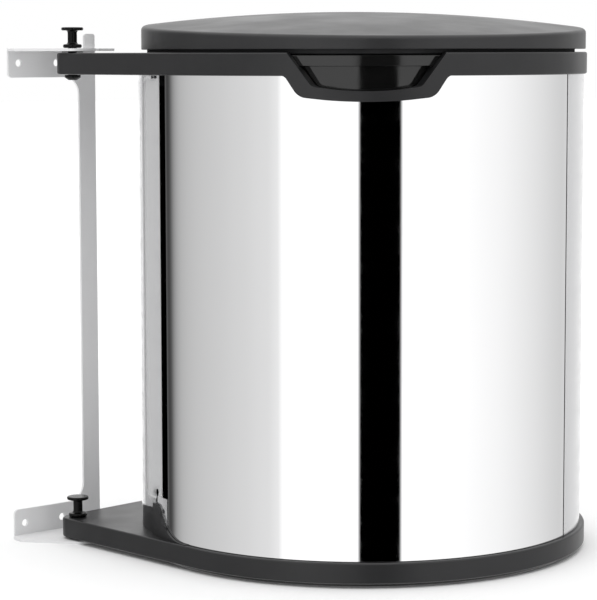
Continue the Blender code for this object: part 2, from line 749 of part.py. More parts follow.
def make_shells(place, cover_finish, shell_finish, pillar_finish, strip_finish):
    inner = DRUM_RADIUS - COVER_SHEET
    cover = curved(inner, DRUM_RADIUS, COVER_START, COVER_END, DRUM_LOW, DRUM_HIGH)
    front = solid("front_cover", cover, place, cover_finish)
    notch = trapezoid(HOOD_TOP_WIDTH, HOOD_BOTTOM_WIDTH, HOOD_DEPTH, HOOD_LAP - GAP)
    cut(front, "cut_hood_notch", prism(notch, 0.0, 2 * RING_RADIUS, facing_recess))

    shell_start = COVER_END + math.degrees(SEAM_WIDTH / DRUM_RADIUS)
    shell = curved(inner, DRUM_RADIUS, shell_start, SHELL_END, DRUM_LOW, DRUM_HIGH)
    rear = solid("rear_shell", shell, place, shell_finish)
    for i, phi in enumerate(SHELL_SCREW_PHI, 1):
        cut(rear, f"cut_rear_screw_hole_{i}", screw_bore(phi, SHELL_SCREW_HEIGHT))

    strip_outer = inner - GAP
    middle = (COVER_END + shell_start) / 2
    half = math.degrees(SEAM_STRIP_WIDTH / 2 / DRUM_RADIUS)
    strip_low = BASE_TOP + UPSTAND_HEIGHT + RUN
    strip = curved(
        strip_outer - SEAM_STRIP_SHEET, strip_outer, middle - half, middle + half, strip_low, DRUM_HIGH
    )
    solid("seam_strip", strip, place, strip_finish)

    back = DRUM_RADIUS - PILLAR_SHEET
    width = spread(PILLAR_START, PILLAR_END)
    post = curved_through(back, DRUM_RADIUS, width, pillar_low, DRUM_HIGH)
    pillar = solid("hinge_side_pillar", post, place, pillar_finish)
    foot_end = COVER_START - FOOT_TO_COVER
    foot = curved(back, DRUM_RADIUS, SLIT_PHI, foot_end, DRUM_LOW, BASE_TOP + FOOT_HEIGHT)
    join(pillar, "add_foot", foot)
    slit_top = BASE_TOP + SLIT_HEIGHT
    slit = curved(back - RUN, DRUM_RADIUS + RUN, SEAT_END, FOOT_START, BASE_TOP - RUN, slit_top)
    cut(pillar, "cut_relief_slit", slit)
    hole = [
        (0, back - RUN),
        (SLIT_HOLE_RADIUS, back - RUN),
        (SLIT_HOLE_RADIUS, DRUM_RADIUS + RUN),
        (0, DRUM_RADIUS + RUN),
    ]
    cut(pillar, "cut_relief_hole", turned_about(hole, SLIT_PHI, slit_top))
    cut(pillar, "cut_foot_screw_hole", screw_bore(FOOT_SCREW_PHI, FOOT_SCREW_HEIGHT))
    for side in (-1, 1):
        cut(pillar, f"cut_rivet_hole_{side}", rivet_bore(side))


def headed(head_radius, head_height, shank_radius, seat, end):
    """Profile of a dome-headed fastener from its tip to its crown."""
    profile = [(0, end), (shank_radius, end), (shank_radius, seat)]
    if head_radius > shank_radius:
        profile.append((head_radius, seat))
    for turn in (30, 60):
        across = head_radius * math.cos(math.radians(turn))
        profile.append((across, seat + head_height * math.sin(math.radians(turn))))
    profile.append((0, seat + head_height))
    return profile


def make_fasteners(place, finish):
    seat = DRUM_RADIUS + GAP
    end = UPSTAND_RADIUS - UPSTAND_WALL
    rivet = headed(RIVET_HEAD_RADIUS, RIVET_HEAD_RADIUS / 2, RIVET_SHANK_RADIUS, seat, end)
    for name, side in (("pillar_rivet_rear", -1), ("pillar_rivet_front", 1)):
        shape = turned_about(rivet, rivet_phi(side), RIVET_Z, SMALL_STEPS // 2)
        solid(name, shape, place, finish)
    screw = headed(SCREW_HEAD_RADIUS, SCREW_HEAD_HEIGHT, SCREW_SHANK_RADIUS, seat, end)
    for i, phi in enumerate(SHELL_SCREW_PHI, 1):
        shape = turned_about(screw, phi, BASE_TOP + SHELL_SCREW_HEIGHT)
        solid(f"shell_screw_{i}", shape, place, finish)
    sunk = headed(SCREW_SHANK_RADIUS, SCREW_HEAD_HEIGHT / 2, SCREW_SHANK_RADIUS, seat - PILLAR_SHEET, end)
    shape = turned_about(sunk, FOOT_SCREW_PHI, BASE_TOP + FOOT_SCREW_HEIGHT)
    solid("pillar_foot_screw", shape, place, finish)


def make_bucket(place, finish):
    top = LEDGE_TOP + GAP + BUCKET_LIP_HEIGHT
    bottom = BASE_FLOOR + BUCKET_FOOT
    lip = RING_BORE - PLAY
    foot = BUCKET_TOP_RADIUS - BUCKET_TAPER
    wall = BUCKET_WALL
    rounding = BUCKET_FOOT_ROUND
    ease = rounding * (1 - math.sqrt(0.5))
    profile = [
        (0, bottom),
        (foot - rounding, bottom),
        (foot - ease, bottom + ease),
        (foot, bottom + rounding),
        (BUCKET_TOP_RADIUS, top - wall),
        (lip - wall, top - wall),
        (lip - wall, top - BUCKET_LIP_HEIGHT),
        (lip, top - BUCKET_LIP_HEIGHT),
        (lip, top - wall / 2),
        (lip - wall / 2, top),
        (BUCKET_TOP_RADIUS - wall, top),
        (foot - wall, bottom + rounding),
        (foot - wall - ease, bottom + wall + ease),
        (foot - wall - rounding, bottom + wall),
        (0, bottom + wall),
    ]
    solid("inner_bucket", turned(profile), place, finish)


# The lid, drawn about the drum axis with its origin on the hinge.


def lid_top(x, y):
    """Height of the lid's dome, which slopes up towards the hinge and leans to one side."""
    tilt = (LID_SLOPE * y - LID_LEAN * x) / LID_RADIUS
    across = math.hypot(x, y) / LID_RADIUS
    return RING_TOP + LID_CROWN + tilt - LID_DOME * across**2


def lid_column(phi):
    """The lid's section at one angle, from the middle of the top to the middle of the underside."""
    low = RING_TOP + LID_LIFT
    skirt_in = LID_RADIUS - LID_WALL
    rib_out = skirt_in - LID_RIB_INSET
    rib_in = rib_out - LID_RIB_WALL

    def on_top(radius):
        spot = point(radius, phi, 0.0)
        return lid_top(spot.x, spot.y)

    def under(radius):
        return on_top(radius) - LID_WALL

    shoulder = LID_RADIUS - LID_ROUND
    rim = on_top(shoulder)
    section = []
    for share in LID_STATIONS:
        radius = shoulder * share
        section.append((radius, on_top(radius)))
    for turn in (90, 60, 30, 0):
        out = LID_ROUND * math.cos(math.radians(turn))
        up = LID_ROUND * math.sin(math.radians(turn))
        section.append((shoulder + out, rim - LID_ROUND + up))
    section += [
        (LID_RADIUS, low),
        (skirt_in, low),
        (skirt_in, under(shoulder)),
        (rib_out, under(rib_out)),
        (rib_out, low + GAP),
        (rib_in, low + GAP),
        (rib_in, under(rib_in)),
    ]
    for share in reversed(LID_STATIONS):
        radius = shoulder * share
        section.append((radius, under(radius)))
    return [point(radius, phi, height) + Vector((LID_SHIFT, 0.0, 0.0)) for radius, height in section]


def make_lid(place, lid_finish, seal_finish, rod_place, rod_finish):
    steps = CIRCLE_STEPS * 3 // 4
    columns = [lid_column(360 * i / steps) for i in range(steps)]
    bm = bmesh.new()
    top = bm.verts.new(columns[0][0])
    under = bm.verts.new(columns[0][-1])
    grid = []
    for column in columns:
        grid.append([top] + [bm.verts.new(spot) for spot in column[1:-1]] + [under])
    for i, left in enumerate(grid):
        right = grid[(i + 1) % steps]
        for j in range(len(left) - 1):
            corners = list(dict.fromkeys((left[j], left[j + 1], right[j + 1], right[j])))
            bm.faces.new(corners)
    lid = solid("lid_shell", bm, place, lid_finish)
    join(lid, "add_hinge_tongue", hinge_tongue())
    cut(lid, "cut_hinge_bore", hinge_bore())

    outside = LID_RADIUS - LID_WALL - LID_RIB_INSET
    inside = outside - SEAL_WIDTH
    low = RING_TOP - SEAL_DROP
    high = RING_TOP + LID_LIFT
    seal = [(inside, low), (outside, low), (outside, high), (inside, high)]
    solid("lid_seal", turned(seal, steps), place, seal_finish)

    rod_end = HINGE_TONGUE_WIDTH / 2 + RUN + HINGE_LUG_WIDTH + RUN
    circle = arc((HINGE_OUT, HINGE_HEIGHT), HINGE_ROD_RADIUS, 0, 360, SMALL_STEPS)[:-1]
    solid("lid_hinge_rod", prism(circle, -rod_end, rod_end, from_side), rod_place, rod_finish)


def hinge_tongue():
    """Strap behind the lid that hooks down round the hinge rod."""
    half = HINGE_TONGUE_WIDTH / 2
    low = RING_TOP + LID_LIFT + GAP
    high = low + HINGE_STRAP
    root = LID_RADIUS - HINGE_ROOT
    back = HINGE_OUT + HINGE_KNUCKLE_RADIUS
    knuckle = arc((HINGE_OUT, HINGE_HEIGHT), HINGE_KNUCKLE_RADIUS, 90, 360, 3 * CORNER_STEPS)
    outline = [(root, low), (HINGE_OUT, low)] + knuckle + [(back, high - HINGE_STRAP / 2)]
    outline += [(back - HINGE_STRAP / 2, high), (root, high)]
    return prism(outline, -half, half, from_side)


def main():
    clear_scene()
    black = material("black_plastic", (0.022, 0.022, 0.024), 0.45, 0.0)
    lid_black = material("lid_plastic", (0.035, 0.035, 0.038), 0.5, 0.0)
    pin_black = material("pin_plastic", (0.01, 0.01, 0.011), 0.35, 0.0)
    bucket_black = material("bucket_plastic", (0.012, 0.012, 0.013), 0.25, 0.0)
    polished = material("polished_steel", (0.78, 0.79, 0.8), 0.06, 1.0)
    coated = material("coated_steel", (0.62, 0.62, 0.63), 0.35, 0.6)
    white = material("white_steel", (0.82, 0.82, 0.82), 0.4, 0.0)
    screw_grey = material("dark_screw", (0.06, 0.06, 0.065), 0.35, 0.8)
    rod_steel = material("rod_steel", (0.6, 0.6, 0.61), 0.25, 1.0)
    rubber = material("seal_rubber", (0.015, 0.015, 0.016), 0.7, 0.0)

    floor = empty("cabinet_floor", (0.0, 0.0, -WALL_HOLE_HEIGHT))
    pivot = empty("pivot_axis", (PIVOT_FROM_WALL, 0.0, 0.0), floor)
    swing = empty("swing_axis", (PIVOT_FROM_WALL, 0.0, 0.0), floor, CLOSED_ANGLE)
    hinge_from_drum = Vector((0.0, HINGE_OUT, HINGE_HEIGHT))
    drum_from_pivot = Vector((ARM_LENGTH, 0.0, 0.0))
    hinge = empty("lid_axis", drum_from_pivot + hinge_from_drum, swing)

    on_floor = (floor, Vector())
    on_pivot = (pivot, Vector())
    on_swing = (swing, drum_from_pivot)
    on_hinge = (hinge, -hinge_from_drum)

    make_bracket(on_floor, white)
    make_pins(on_pivot, pin_black)
    make_base(on_swing, black)
    make_ring(on_swing, black)
    make_shells(on_swing, polished, coated, coated, black)
    make_fasteners(on_swing, screw_grey)
    make_bucket(on_swing, bucket_black)
    make_lid(on_hinge, lid_black, rubber, on_swing, rod_steel)


main()
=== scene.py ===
"""The look of a built-in waste bin that swings out of a cabinet on a wall bracket.

Lengths are metres. Pieces of the bin are drawn about the drum axis, with heights from the cabinet's
floor. There an angle called phi is measured about that axis from the middle of the finger recess, and
it is negative towards the pivot. The bracket is drawn from the cabinet's wall, and the pins about the
pivot. Each finished piece is then put in the frame's axes and rides on its body.
"""

import json
import math

import bmesh
import bpy
from mathutils import Matrix, Vector


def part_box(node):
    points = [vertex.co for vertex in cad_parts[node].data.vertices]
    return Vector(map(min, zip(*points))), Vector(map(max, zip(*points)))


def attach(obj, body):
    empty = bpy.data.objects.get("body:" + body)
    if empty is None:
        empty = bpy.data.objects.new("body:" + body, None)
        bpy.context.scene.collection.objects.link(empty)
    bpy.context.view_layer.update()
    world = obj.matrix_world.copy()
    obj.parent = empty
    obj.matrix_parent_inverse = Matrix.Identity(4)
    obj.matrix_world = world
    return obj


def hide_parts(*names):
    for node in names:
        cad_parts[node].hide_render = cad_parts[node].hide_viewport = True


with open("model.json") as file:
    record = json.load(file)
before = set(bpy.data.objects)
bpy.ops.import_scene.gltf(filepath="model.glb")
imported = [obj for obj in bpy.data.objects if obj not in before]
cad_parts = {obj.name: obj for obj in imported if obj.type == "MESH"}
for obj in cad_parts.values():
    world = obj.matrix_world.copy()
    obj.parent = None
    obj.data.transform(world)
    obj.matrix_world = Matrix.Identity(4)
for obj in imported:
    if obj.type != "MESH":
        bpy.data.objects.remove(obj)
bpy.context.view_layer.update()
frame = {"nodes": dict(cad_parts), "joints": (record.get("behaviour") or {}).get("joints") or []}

# Places from the frame.
JOINTS = {joint["name"]: joint for joint in frame["joints"]}
PIVOT = Vector(JOINTS["bin_swing"]["pos_m"])
HINGE = Vector(JOINTS["lid_hinge"]["pos_m"])
HINGE_LINE = JOINTS["lid_hinge"]["axis"]
CLOSED_ANGLE = math.atan2(-HINGE_LINE[1], -HINGE_LINE[0])
TURN = Matrix.Rotation(CLOSED_ANGLE, 4, "Z")
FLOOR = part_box("base_plate")[0].z
ARM_LENGTH, HINGE_OUT, _ = TURN.inverted() @ (HINGE - PIVOT)
DRUM = PIVOT + TURN @ Vector((ARM_LENGTH, 0.0, 0.0))
HINGE_HEIGHT = HINGE.z - FLOOR
SHELL = frame["nodes"]["rear_shell"].data.vertices
DRUM_RADIUS = max(math.hypot(spot.co.x - DRUM.x, spot.co.y - DRUM.y) for spot in SHELL)
DRUM_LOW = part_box("front_cover")[0].z - FLOOR
DRUM_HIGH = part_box("front_cover")[1].z - FLOOR
RING_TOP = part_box("top_ring")[1].z - FLOOR
BUCKET_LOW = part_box("inner_bucket")[0].z - FLOOR
BUCKET_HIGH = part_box("inner_bucket")[1].z - FLOOR
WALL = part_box("wall_bracket")[0].x
BRACKET_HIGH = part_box("wall_bracket")[1].z - FLOOR

ON_WALL = Matrix.Translation((WALL, PIVOT.y, FLOOR))
ON_PIVOT = Matrix.Translation((PIVOT.x, PIVOT.y, FLOOR))
ON_DRUM = Matrix.Translation((DRUM.x, DRUM.y, FLOOR)) @ TURN

# Sizes, in metres and degrees.
GAP = 0.0003
RUN = 0.001
PLAY = 0.0006

SHEET = 0.0018  # bracket
PIVOT_OUT = PIVOT.x - WALL
BRACKET_FRONT = -0.029
BRACKET_REAR = 0.045
FLANGE_HEIGHT = 0.018
STRIP_WIDTH = 0.014
STRIP_FILLET = 0.012
FLANGE_CORNER = 0.003
WALL_HOLE_RADIUS = 0.0025
WALL_HOLE_PITCH = 0.032
WALL_HOLE_CENTRE = -0.0045
WALL_HOLE_HEIGHT = (FLANGE_HEIGHT + SHEET) / 2
PLATE_EAR = 0.016
PLATE_BULGE = 0.0046
PLATE_BULGE_OUT = 0.015
FINGER_LENGTH = 0.016
FINGER_WIDTH = 0.007
TAB_WIDTH = 0.0088
TAB_HEIGHT = 0.0100
TAB_OUT = 0.023
TAB_BACK = 0.023
PLATE_TOP = BRACKET_HIGH - TAB_HEIGHT
CUT_EDGE = 0.0004  # rounding of the bracket's cut edges

SHANK_RADIUS = 0.003
PIN_HEIGHT = 0.014
PIN_HEAD = 0.0075
PIN_HEAD_SHEET = 0.0022
PIN_WAIST = 0.0032
PIN_FLANGE = 0.0064
PIN_FLANGE_SHEET = 0.0026
PIN_FILLET = 0.0016
PIN_ROUND = 0.0009
SNAP_RADIUS = 0.0055
SNAP_HEIGHT = 0.0035
COLLAR_RADIUS = 0.0072
COLLAR_SHEET = 0.0006

BASE_TOP = DRUM_LOW - GAP
BASE_LIFT = 0.003
BASE_FLOOR = 0.003
PLINTH_INSET = 0.006
BASE_RADIUS = DRUM_RADIUS + 0.0033
ARM_TIP = 0.0105
EDGE_ROUND = 0.0014
UPSTAND_WALL = 0.0022
UPSTAND_HEIGHT = 0.008
SEAT_HEIGHT = 0.0138
SEAT_RISE = 0.0044
GUSSET_HEIGHT = 0.0213
GUSSET_WALL = 0.0016
GUSSET_FALL = -63.3
GUSSET_END = -50.0
GUSSET_HOLLOW = 2.85  # how hollow the gusset's falling edge is
GUSSET_LIP = 0.0003

RING_BAND = 0.0146
RING_LOW = RING_TOP - RING_BAND
SKIRT_INSIDE = DRUM_RADIUS + 0.00035
RING_SKIRT = 0.00165
RING_RADIUS = SKIRT_INSIDE + RING_SKIRT
RING_DECK = 0.0023
CHANNEL_TOP = RING_TOP - RING_DECK
CHANNEL_INSIDE = SKIRT_INSIDE - 0.0039
INNER_WALL = 0.002
RING_BORE = CHANNEL_INSIDE - INNER_WALL
LEDGE_BORE = RING_BORE - 0.005
LEDGE_TOP = RING_TOP - 0.009
LEDGE_SHEET = 0.0022
TONGUE_DROP = 0.022

RECESS_TOP = 0.1045
RECESS_BOTTOM = 0.071
RECESS_DEPTH = 0.024
RECESS_TAPER = 0.0065
RECESS_CORNER = 0.006
HOOD_TOP = 0.121
HOOD_BOTTOM = 0.085
HOOD_DEPTH = 0.0305
HOOD_CORNER = 0.010
HOOD_LAP = 0.003
HOOD_FILLET = 0.005  # where the hood runs into the ring's band
RECESS_SAG = 0.0028  # how far the middle hangs below the corners
OPEN_RISE = 0.02  # how far its cutters reach above the ring
HOOD_REACH = 0.9  # well past the hood's sides

COVER_SHEET = 0.0003  # thinner than the part's 0.8 mm, so that the seam can be seen into
COVER_START = -58.5
COVER_END = 61.4
SEAM = math.degrees(0.0016 / DRUM_RADIUS)
SEAM_STRIP_OUT = DRUM_RADIUS - 0.0011
SEAM_STRIP_SHEET = 0.001
SEAM_STRIP_HALF = math.degrees(0.009 / DRUM_RADIUS)

PILLAR_SHEET = 0.0008
PILLAR_START = -78.6
PILLAR_END = -61.7
PILLAR_WIDTH = math.radians(PILLAR_END - PILLAR_START) * DRUM_RADIUS
SHELL_END = 360 + PILLAR_START - 0.4
UPSTAND_RADIUS = DRUM_RADIUS - PILLAR_SHEET - GAP
FOOT_HEIGHT = 0.0265
FOOT_END = COVER_START - 0.6
SLIT_PHI = -65.3  # the slit parts the pillar from its foot
SLIT_HALF = math.degrees(0.0013 / DRUM_RADIUS)
SEAT_END = SLIT_PHI - SLIT_HALF
FOOT_START = SLIT_PHI + SLIT_HALF
SLIT_TOP = BASE_TOP + 0.0289
SLIT_HOLE = 0.0022
PANEL_DEPTH = 0.0005  # the pillar's pressed panel
PRESSED_SHEET = 0.0003  # thinner than the part's, like the cover
PANEL_SLOPE = 0.0012
PANEL_BORDER = 0.0095
PANEL_LOW = BASE_TOP + 0.0242
PANEL_HIGH = RING_LOW - 0.001
PANEL_CORNER = 0.012
PANEL_LIP = 0.0007
PANEL_STEP = 0.0005
PANEL_PLAIN_ROWS = 10  # in the middle, where the panel doesn't change
RIVET_PHI = -64.9
RIVET_PITCH = 0.0053
RIVET_HEAD = 0.0011
RIVET_HEIGHT = RING_LOW - RIVET_HEAD - GAP
RIVET_SHANK = 0.0007
SCREW_HEAD = 0.0028
SCREW_HEAD_HEIGHT = 0.0016
SCREW_SHANK = 0.0014
FOOT_SCREW_PHI = -61.0
FOOT_SCREW_HEIGHT = BASE_TOP + 0.0177
SHELL_SCREW_HEIGHT = BASE_TOP + 0.004
SHELL_SCREW_PHI = (110.0, 170.0, 230.0)

BUCKET_WALL = 0.002
BUCKET_TOP_RADIUS = LEDGE_BORE - 0.00245
BUCKET_TAPER = 0.008
BUCKET_LIP_HEIGHT = 0.0075
BUCKET_FOOT_ROUND = 0.010

LID_RADIUS = DRUM_RADIUS - 0.0006
LID_SHIFT = 0.0017  # the lid sits this far to one side
LID_LOW = RING_TOP + 0.002
LID_WALL = 0.0022
LID_CROWN = 0.0267
LID_SLOPE = 0.007
LID_LEAN = 0.00106  # the lid tips this much to one side
LID_DOME = 0.0096
LID_ROUND = 0.003
LID_EDGE = 0.0005
LID_TOP_RINGS = 16
LID_UNDER_RINGS = 12
RIB_INSET = 0.0034
RIB_WALL = 0.0024
SEAL_WIDTH = 0.004
SEAL_LOW = RING_TOP - 0.0009
KNUCKLE = 0.0044
ROD_RADIUS = 0.002
TONGUE_WIDTH = 0.030
LUG_WIDTH = 0.008
STRAP = 0.003
STRAP_ROOT = 0.0016

FLOOR_HALF = 12.0

DRUM_STEPS = 288
SMALL_STEPS = 48
RIVET_STEPS = 24
CORNER_STEPS = 8
EDGE_STEPS = 3  # on edges too small to see as round


# Shapes.


def point(radius, phi, height):
    turn = math.radians(phi)
    return Vector((radius * math.sin(turn), -radius * math.cos(turn), height))


def flat(u, v, w):
    return Vector((u, v, w))


def facing_wall(u, v, w):
    return Vector((w, u, v))


def facing_recess(u, v, w):
    return Vector((u, -w, v))


def loft(rings):
    """Skins rings of points with equal counts and caps both ends."""
    bm = bmesh.new()
    rows = [[bm.verts.new(spot) for spot in ring] for ring in rings]
    for low, high in zip(rows, rows[1:]):
        count = len(low)
        for i in range(count):
            j = (i + 1) % count
            bm.faces.new((low[i], low[j], high[j], high[i]))
    bm.faces.new(rows[0])
    bm.faces.new(rows[-1])
    return bm


def prism(outline, low, high, view):
    return loft([[view(u, v, w) for u, v in outline] for w in (low, high)])


def turned(profile, steps=DRUM_STEPS, centre=(0.0, 0.0)):
    """Turns a profile of radius and height about a vertical axis. A radius of 0 is a pole."""
    bm = bmesh.new()
    columns = []
    for radius, height in profile:
        if radius == 0:
            columns.append([bm.verts.new((*centre, height))] * steps)
            continue
        ring = []
        for i in range(steps):
            spot = point(radius, 360 * i / steps, height) + Vector((*centre, 0.0))
            ring.append(bm.verts.new(spot))
        columns.append(ring)
    for low, high in zip(columns, columns[1:] + columns[:1]):
        for i in range(steps):
            j = (i + 1) % steps
            corners = list(dict.fromkeys((low[i], low[j], high[j], high[i])))
            if len(corners) > 2:
                bm.faces.new(corners)
    return bm


def turned_about(profile, phi, height, steps=SMALL_STEPS):
    """Turns a profile of radius and distance from the drum axis about a level line out from it."""
    out = point(1.0, phi, 0.0)
    side = Vector((-out.y, out.x, 0.0))
    up = Vector((0.0, 0.0, 1.0))
    bm = turned(profile, steps)
    for vert in bm.verts:
        x, y, along = vert.co
        vert.co = out * along + side * x + up * (height + y)
    return bm


def spread(start, end):
    """Even angles between two, no further apart than the drum's steps."""
    steps = max(2, round(abs(end - start) * DRUM_STEPS / 360))
    return [start + (end - start) * i / steps for i in range(steps + 1)]


def curved(inner, outer, start, end, low, high):
    """Part of a tube about the drum axis, between two angles."""
    return curved_through(inner, outer, spread(start, end), low, high)


def curved_through(inner, outer, phis, low, high):
    """Part of a tube about the drum axis through given angles. Its top may follow phi."""
    rings = []
    for phi in phis:
        top = high(phi) if callable(high) else high
        corners = ((inner, low), (outer, low), (outer, top), (inner, top))
        rings.append([point(radius, phi, height) for radius, height in corners])
    return loft(rings)


def arc(centre, radius, start, end, steps):
    points = []
    for i in range(steps + 1):
        turn = math.radians(start + (end - start) * i / steps)
        points.append((centre[0] + radius * math.cos(turn), centre[1] + radius * math.sin(turn)))
    return points


def rounded(corners, steps=CORNER_STEPS):
    """An outline from corners, each of which has a radius."""
    outline = []
    count = len(corners)
    for i, (x, y, radius) in enumerate(corners):
        if radius == 0:
            outline.append((x, y))
            continue
        here = Vector((x, y))
        before = (Vector(corners[i - 1][:2]) - here).normalized()
        after = (Vector(corners[(i + 1) % count][:2]) - here).normalized()
        half = before.angle(after) / 2
        reach = radius / math.tan(half)
        centre = here + (before + after).normalized() * (radius / math.sin(half))
        first = here + before * reach - centre
        turn = first.angle_signed(here + after * reach - centre)
        across = Vector((-first.y, first.x))
        for step in range(steps + 1):
            share = turn * step / steps
            spot = centre + first * math.cos(share) - across * math.sin(share)
            outline.append((spot.x, spot.y))
    return outline


def teardrop(radius, tip):
    """Outline round the drum and the pivot, with straight sides between."""
    touch = math.degrees(math.acos((tip - radius) / ARM_LENGTH))
    big = arc((0.0, 0.0), radius, -touch, touch, round(DRUM_STEPS * touch / 180))
    small = arc((-ARM_LENGTH, 0.0), tip, touch, 360 - touch, 3 * CORNER_STEPS)
    return big + small


def teardrop_slab(radius, tip, low, high):
    """Teardrop plate with its edges rounded."""
    levels = []
    for step in range(CORNER_STEPS):
        turn = math.pi / 2 * step / (CORNER_STEPS - 1)
        levels.append((1 - math.sin(turn), low + EDGE_ROUND * (1 - math.cos(turn))))
    for step in range(CORNER_STEPS):
        turn = math.pi / 2 * step / (CORNER_STEPS - 1)
        levels.append((1 - math.cos(turn), high - EDGE_ROUND * (1 - math.sin(turn))))
    rings = []
    for share, height in levels:
        inset = EDGE_ROUND * share
        rings.append([flat(u, v, height) for u, v in teardrop(radius - inset, tip - inset)])
    return loft(rings)


def bore(low, high, radius=SHANK_RADIUS + PLAY, centre=(-ARM_LENGTH, 0.0)):
    return turned([(0, low), (radius, low), (radius, high), (0, high)], SMALL_STEPS, centre)


def trapezoid(top_width, bottom_width, depth, corner, shrink=0.0, fillet=0.0):
    """Outline of the recess or its hood from the front, open upwards past the ring's top."""
    top = top_width / 2 - shrink
    bottom = bottom_width / 2 - shrink
    slope = (top - bottom) / (depth - shrink - RECESS_SAG)
    low = RING_TOP - depth + shrink
    past = top + slope * OPEN_RISE
    sides = []
    if fillet:
        shoulder = RING_LOW + GAP
        wide = top - slope * (RING_TOP - shoulder)
        sides = [(past + fillet, shoulder, 0), (wide, shoulder, fillet)]
        past += fillet
    corners = [(-u, v, radius) for u, v, radius in sides]
    corners = [(past, RING_TOP + OPEN_RISE, 0), (-past, RING_TOP + OPEN_RISE, 0)] + corners
    corners.append((-bottom, low + RECESS_SAG, corner))
    for step in range(-6, 7):
        share = step / 10
        corners.append((bottom * share, low + RECESS_SAG * share * share, 0))
    corners.append((bottom, low + RECESS_SAG, corner))
    return rounded(corners + sides[::-1])


# Objects.


def shape(name, bm):
    bmesh.ops.recalc_face_normals(bm, faces=bm.faces)
    mesh = bpy.data.meshes.new(name)
    bm.to_mesh(mesh)
    bm.free()
    made = bpy.data.objects.new(name, mesh)
    bpy.context.scene.collection.objects.link(made)
    return made


def bake(made):
    """Applies an object's modifiers."""
    graph = bpy.context.evaluated_depsgraph_get()
    mesh = bpy.data.meshes.new_from_object(made.evaluated_get(graph))
    made.modifiers.clear()
    made.data = mesh
    return made


def combine(made, other, operation):
    if isinstance(other, bmesh.types.BMesh):
        other = shape("tool", other)
    change = made.modifiers.new("combine", "BOOLEAN")
    change.object = other
    change.operation = operation
    change.solver = "EXACT"
    bake(made)
    bpy.data.objects.remove(other, do_unlink=True)
    return made


def join(made, other):
    return combine(made, other, "UNION")


def cut(made, other):
    return combine(made, other, "DIFFERENCE")


def keep_inside(made, other):
    return combine(made, other, "INTERSECT")


def soften(made, width, segments=3, angle=40):
    """Rounds the sharp edges a little."""
    edge = made.modifiers.new("soften", "BEVEL")
    edge.width = width
    edge.segments = segments
    edge.limit_method = "ANGLE"
    edge.angle_limit = math.radians(angle)
    edge.use_clamp_overlap = True
    return bake(made)


def smooth(made, sharp=35):
    """Shades smoothly between sharp edges, and keeps flat faces flat."""
    made.data.shade_smooth()
    made.data.set_sharp_from_angle(angle=math.radians(sharp))
    weigh = made.modifiers.new("weigh", "WEIGHTED_NORMAL")
    weigh.keep_sharp = True
    return bake(made)


ON_CURVE = 0.98  # a face that points this nearly out from the axis is part of the curve


def smooth_round(made, sharp=35):
    """Shades the faces of a drum by their true direction, so that its mirror finish stays even."""
    smooth(made, sharp)
    mesh = made.data
    normals = [Vector(corner.vector) for corner in mesh.corner_normals]
    for face in mesh.polygons:
        out = Vector((face.center.x, face.center.y, 0.0)).normalized()
        facing = face.normal.dot(out)
        if abs(facing) < ON_CURVE:
            continue
        for i in face.loop_indices:
            spot = mesh.vertices[mesh.loops[i].vertex_index].co
            normals[i] = Vector((spot.x, spot.y, 0.0)).normalized() * math.copysign(1, facing)
    mesh.normals_split_custom_set(normals)
    return made


def put(made, place, body, finish, nodes):
    """Puts a finished shape in the frame, in place of the CAD nodes that it stands for."""
    made.data.transform(place)
    made.data.materials.clear()
    made.data.materials.append(finish)
    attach(made, body)
    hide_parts(*nodes)
    return made


# Materials, one for each of the record's slots.


NOISE_LOW, NOISE_HIGH = 0.3, 0.7  # most of a noise lies between these


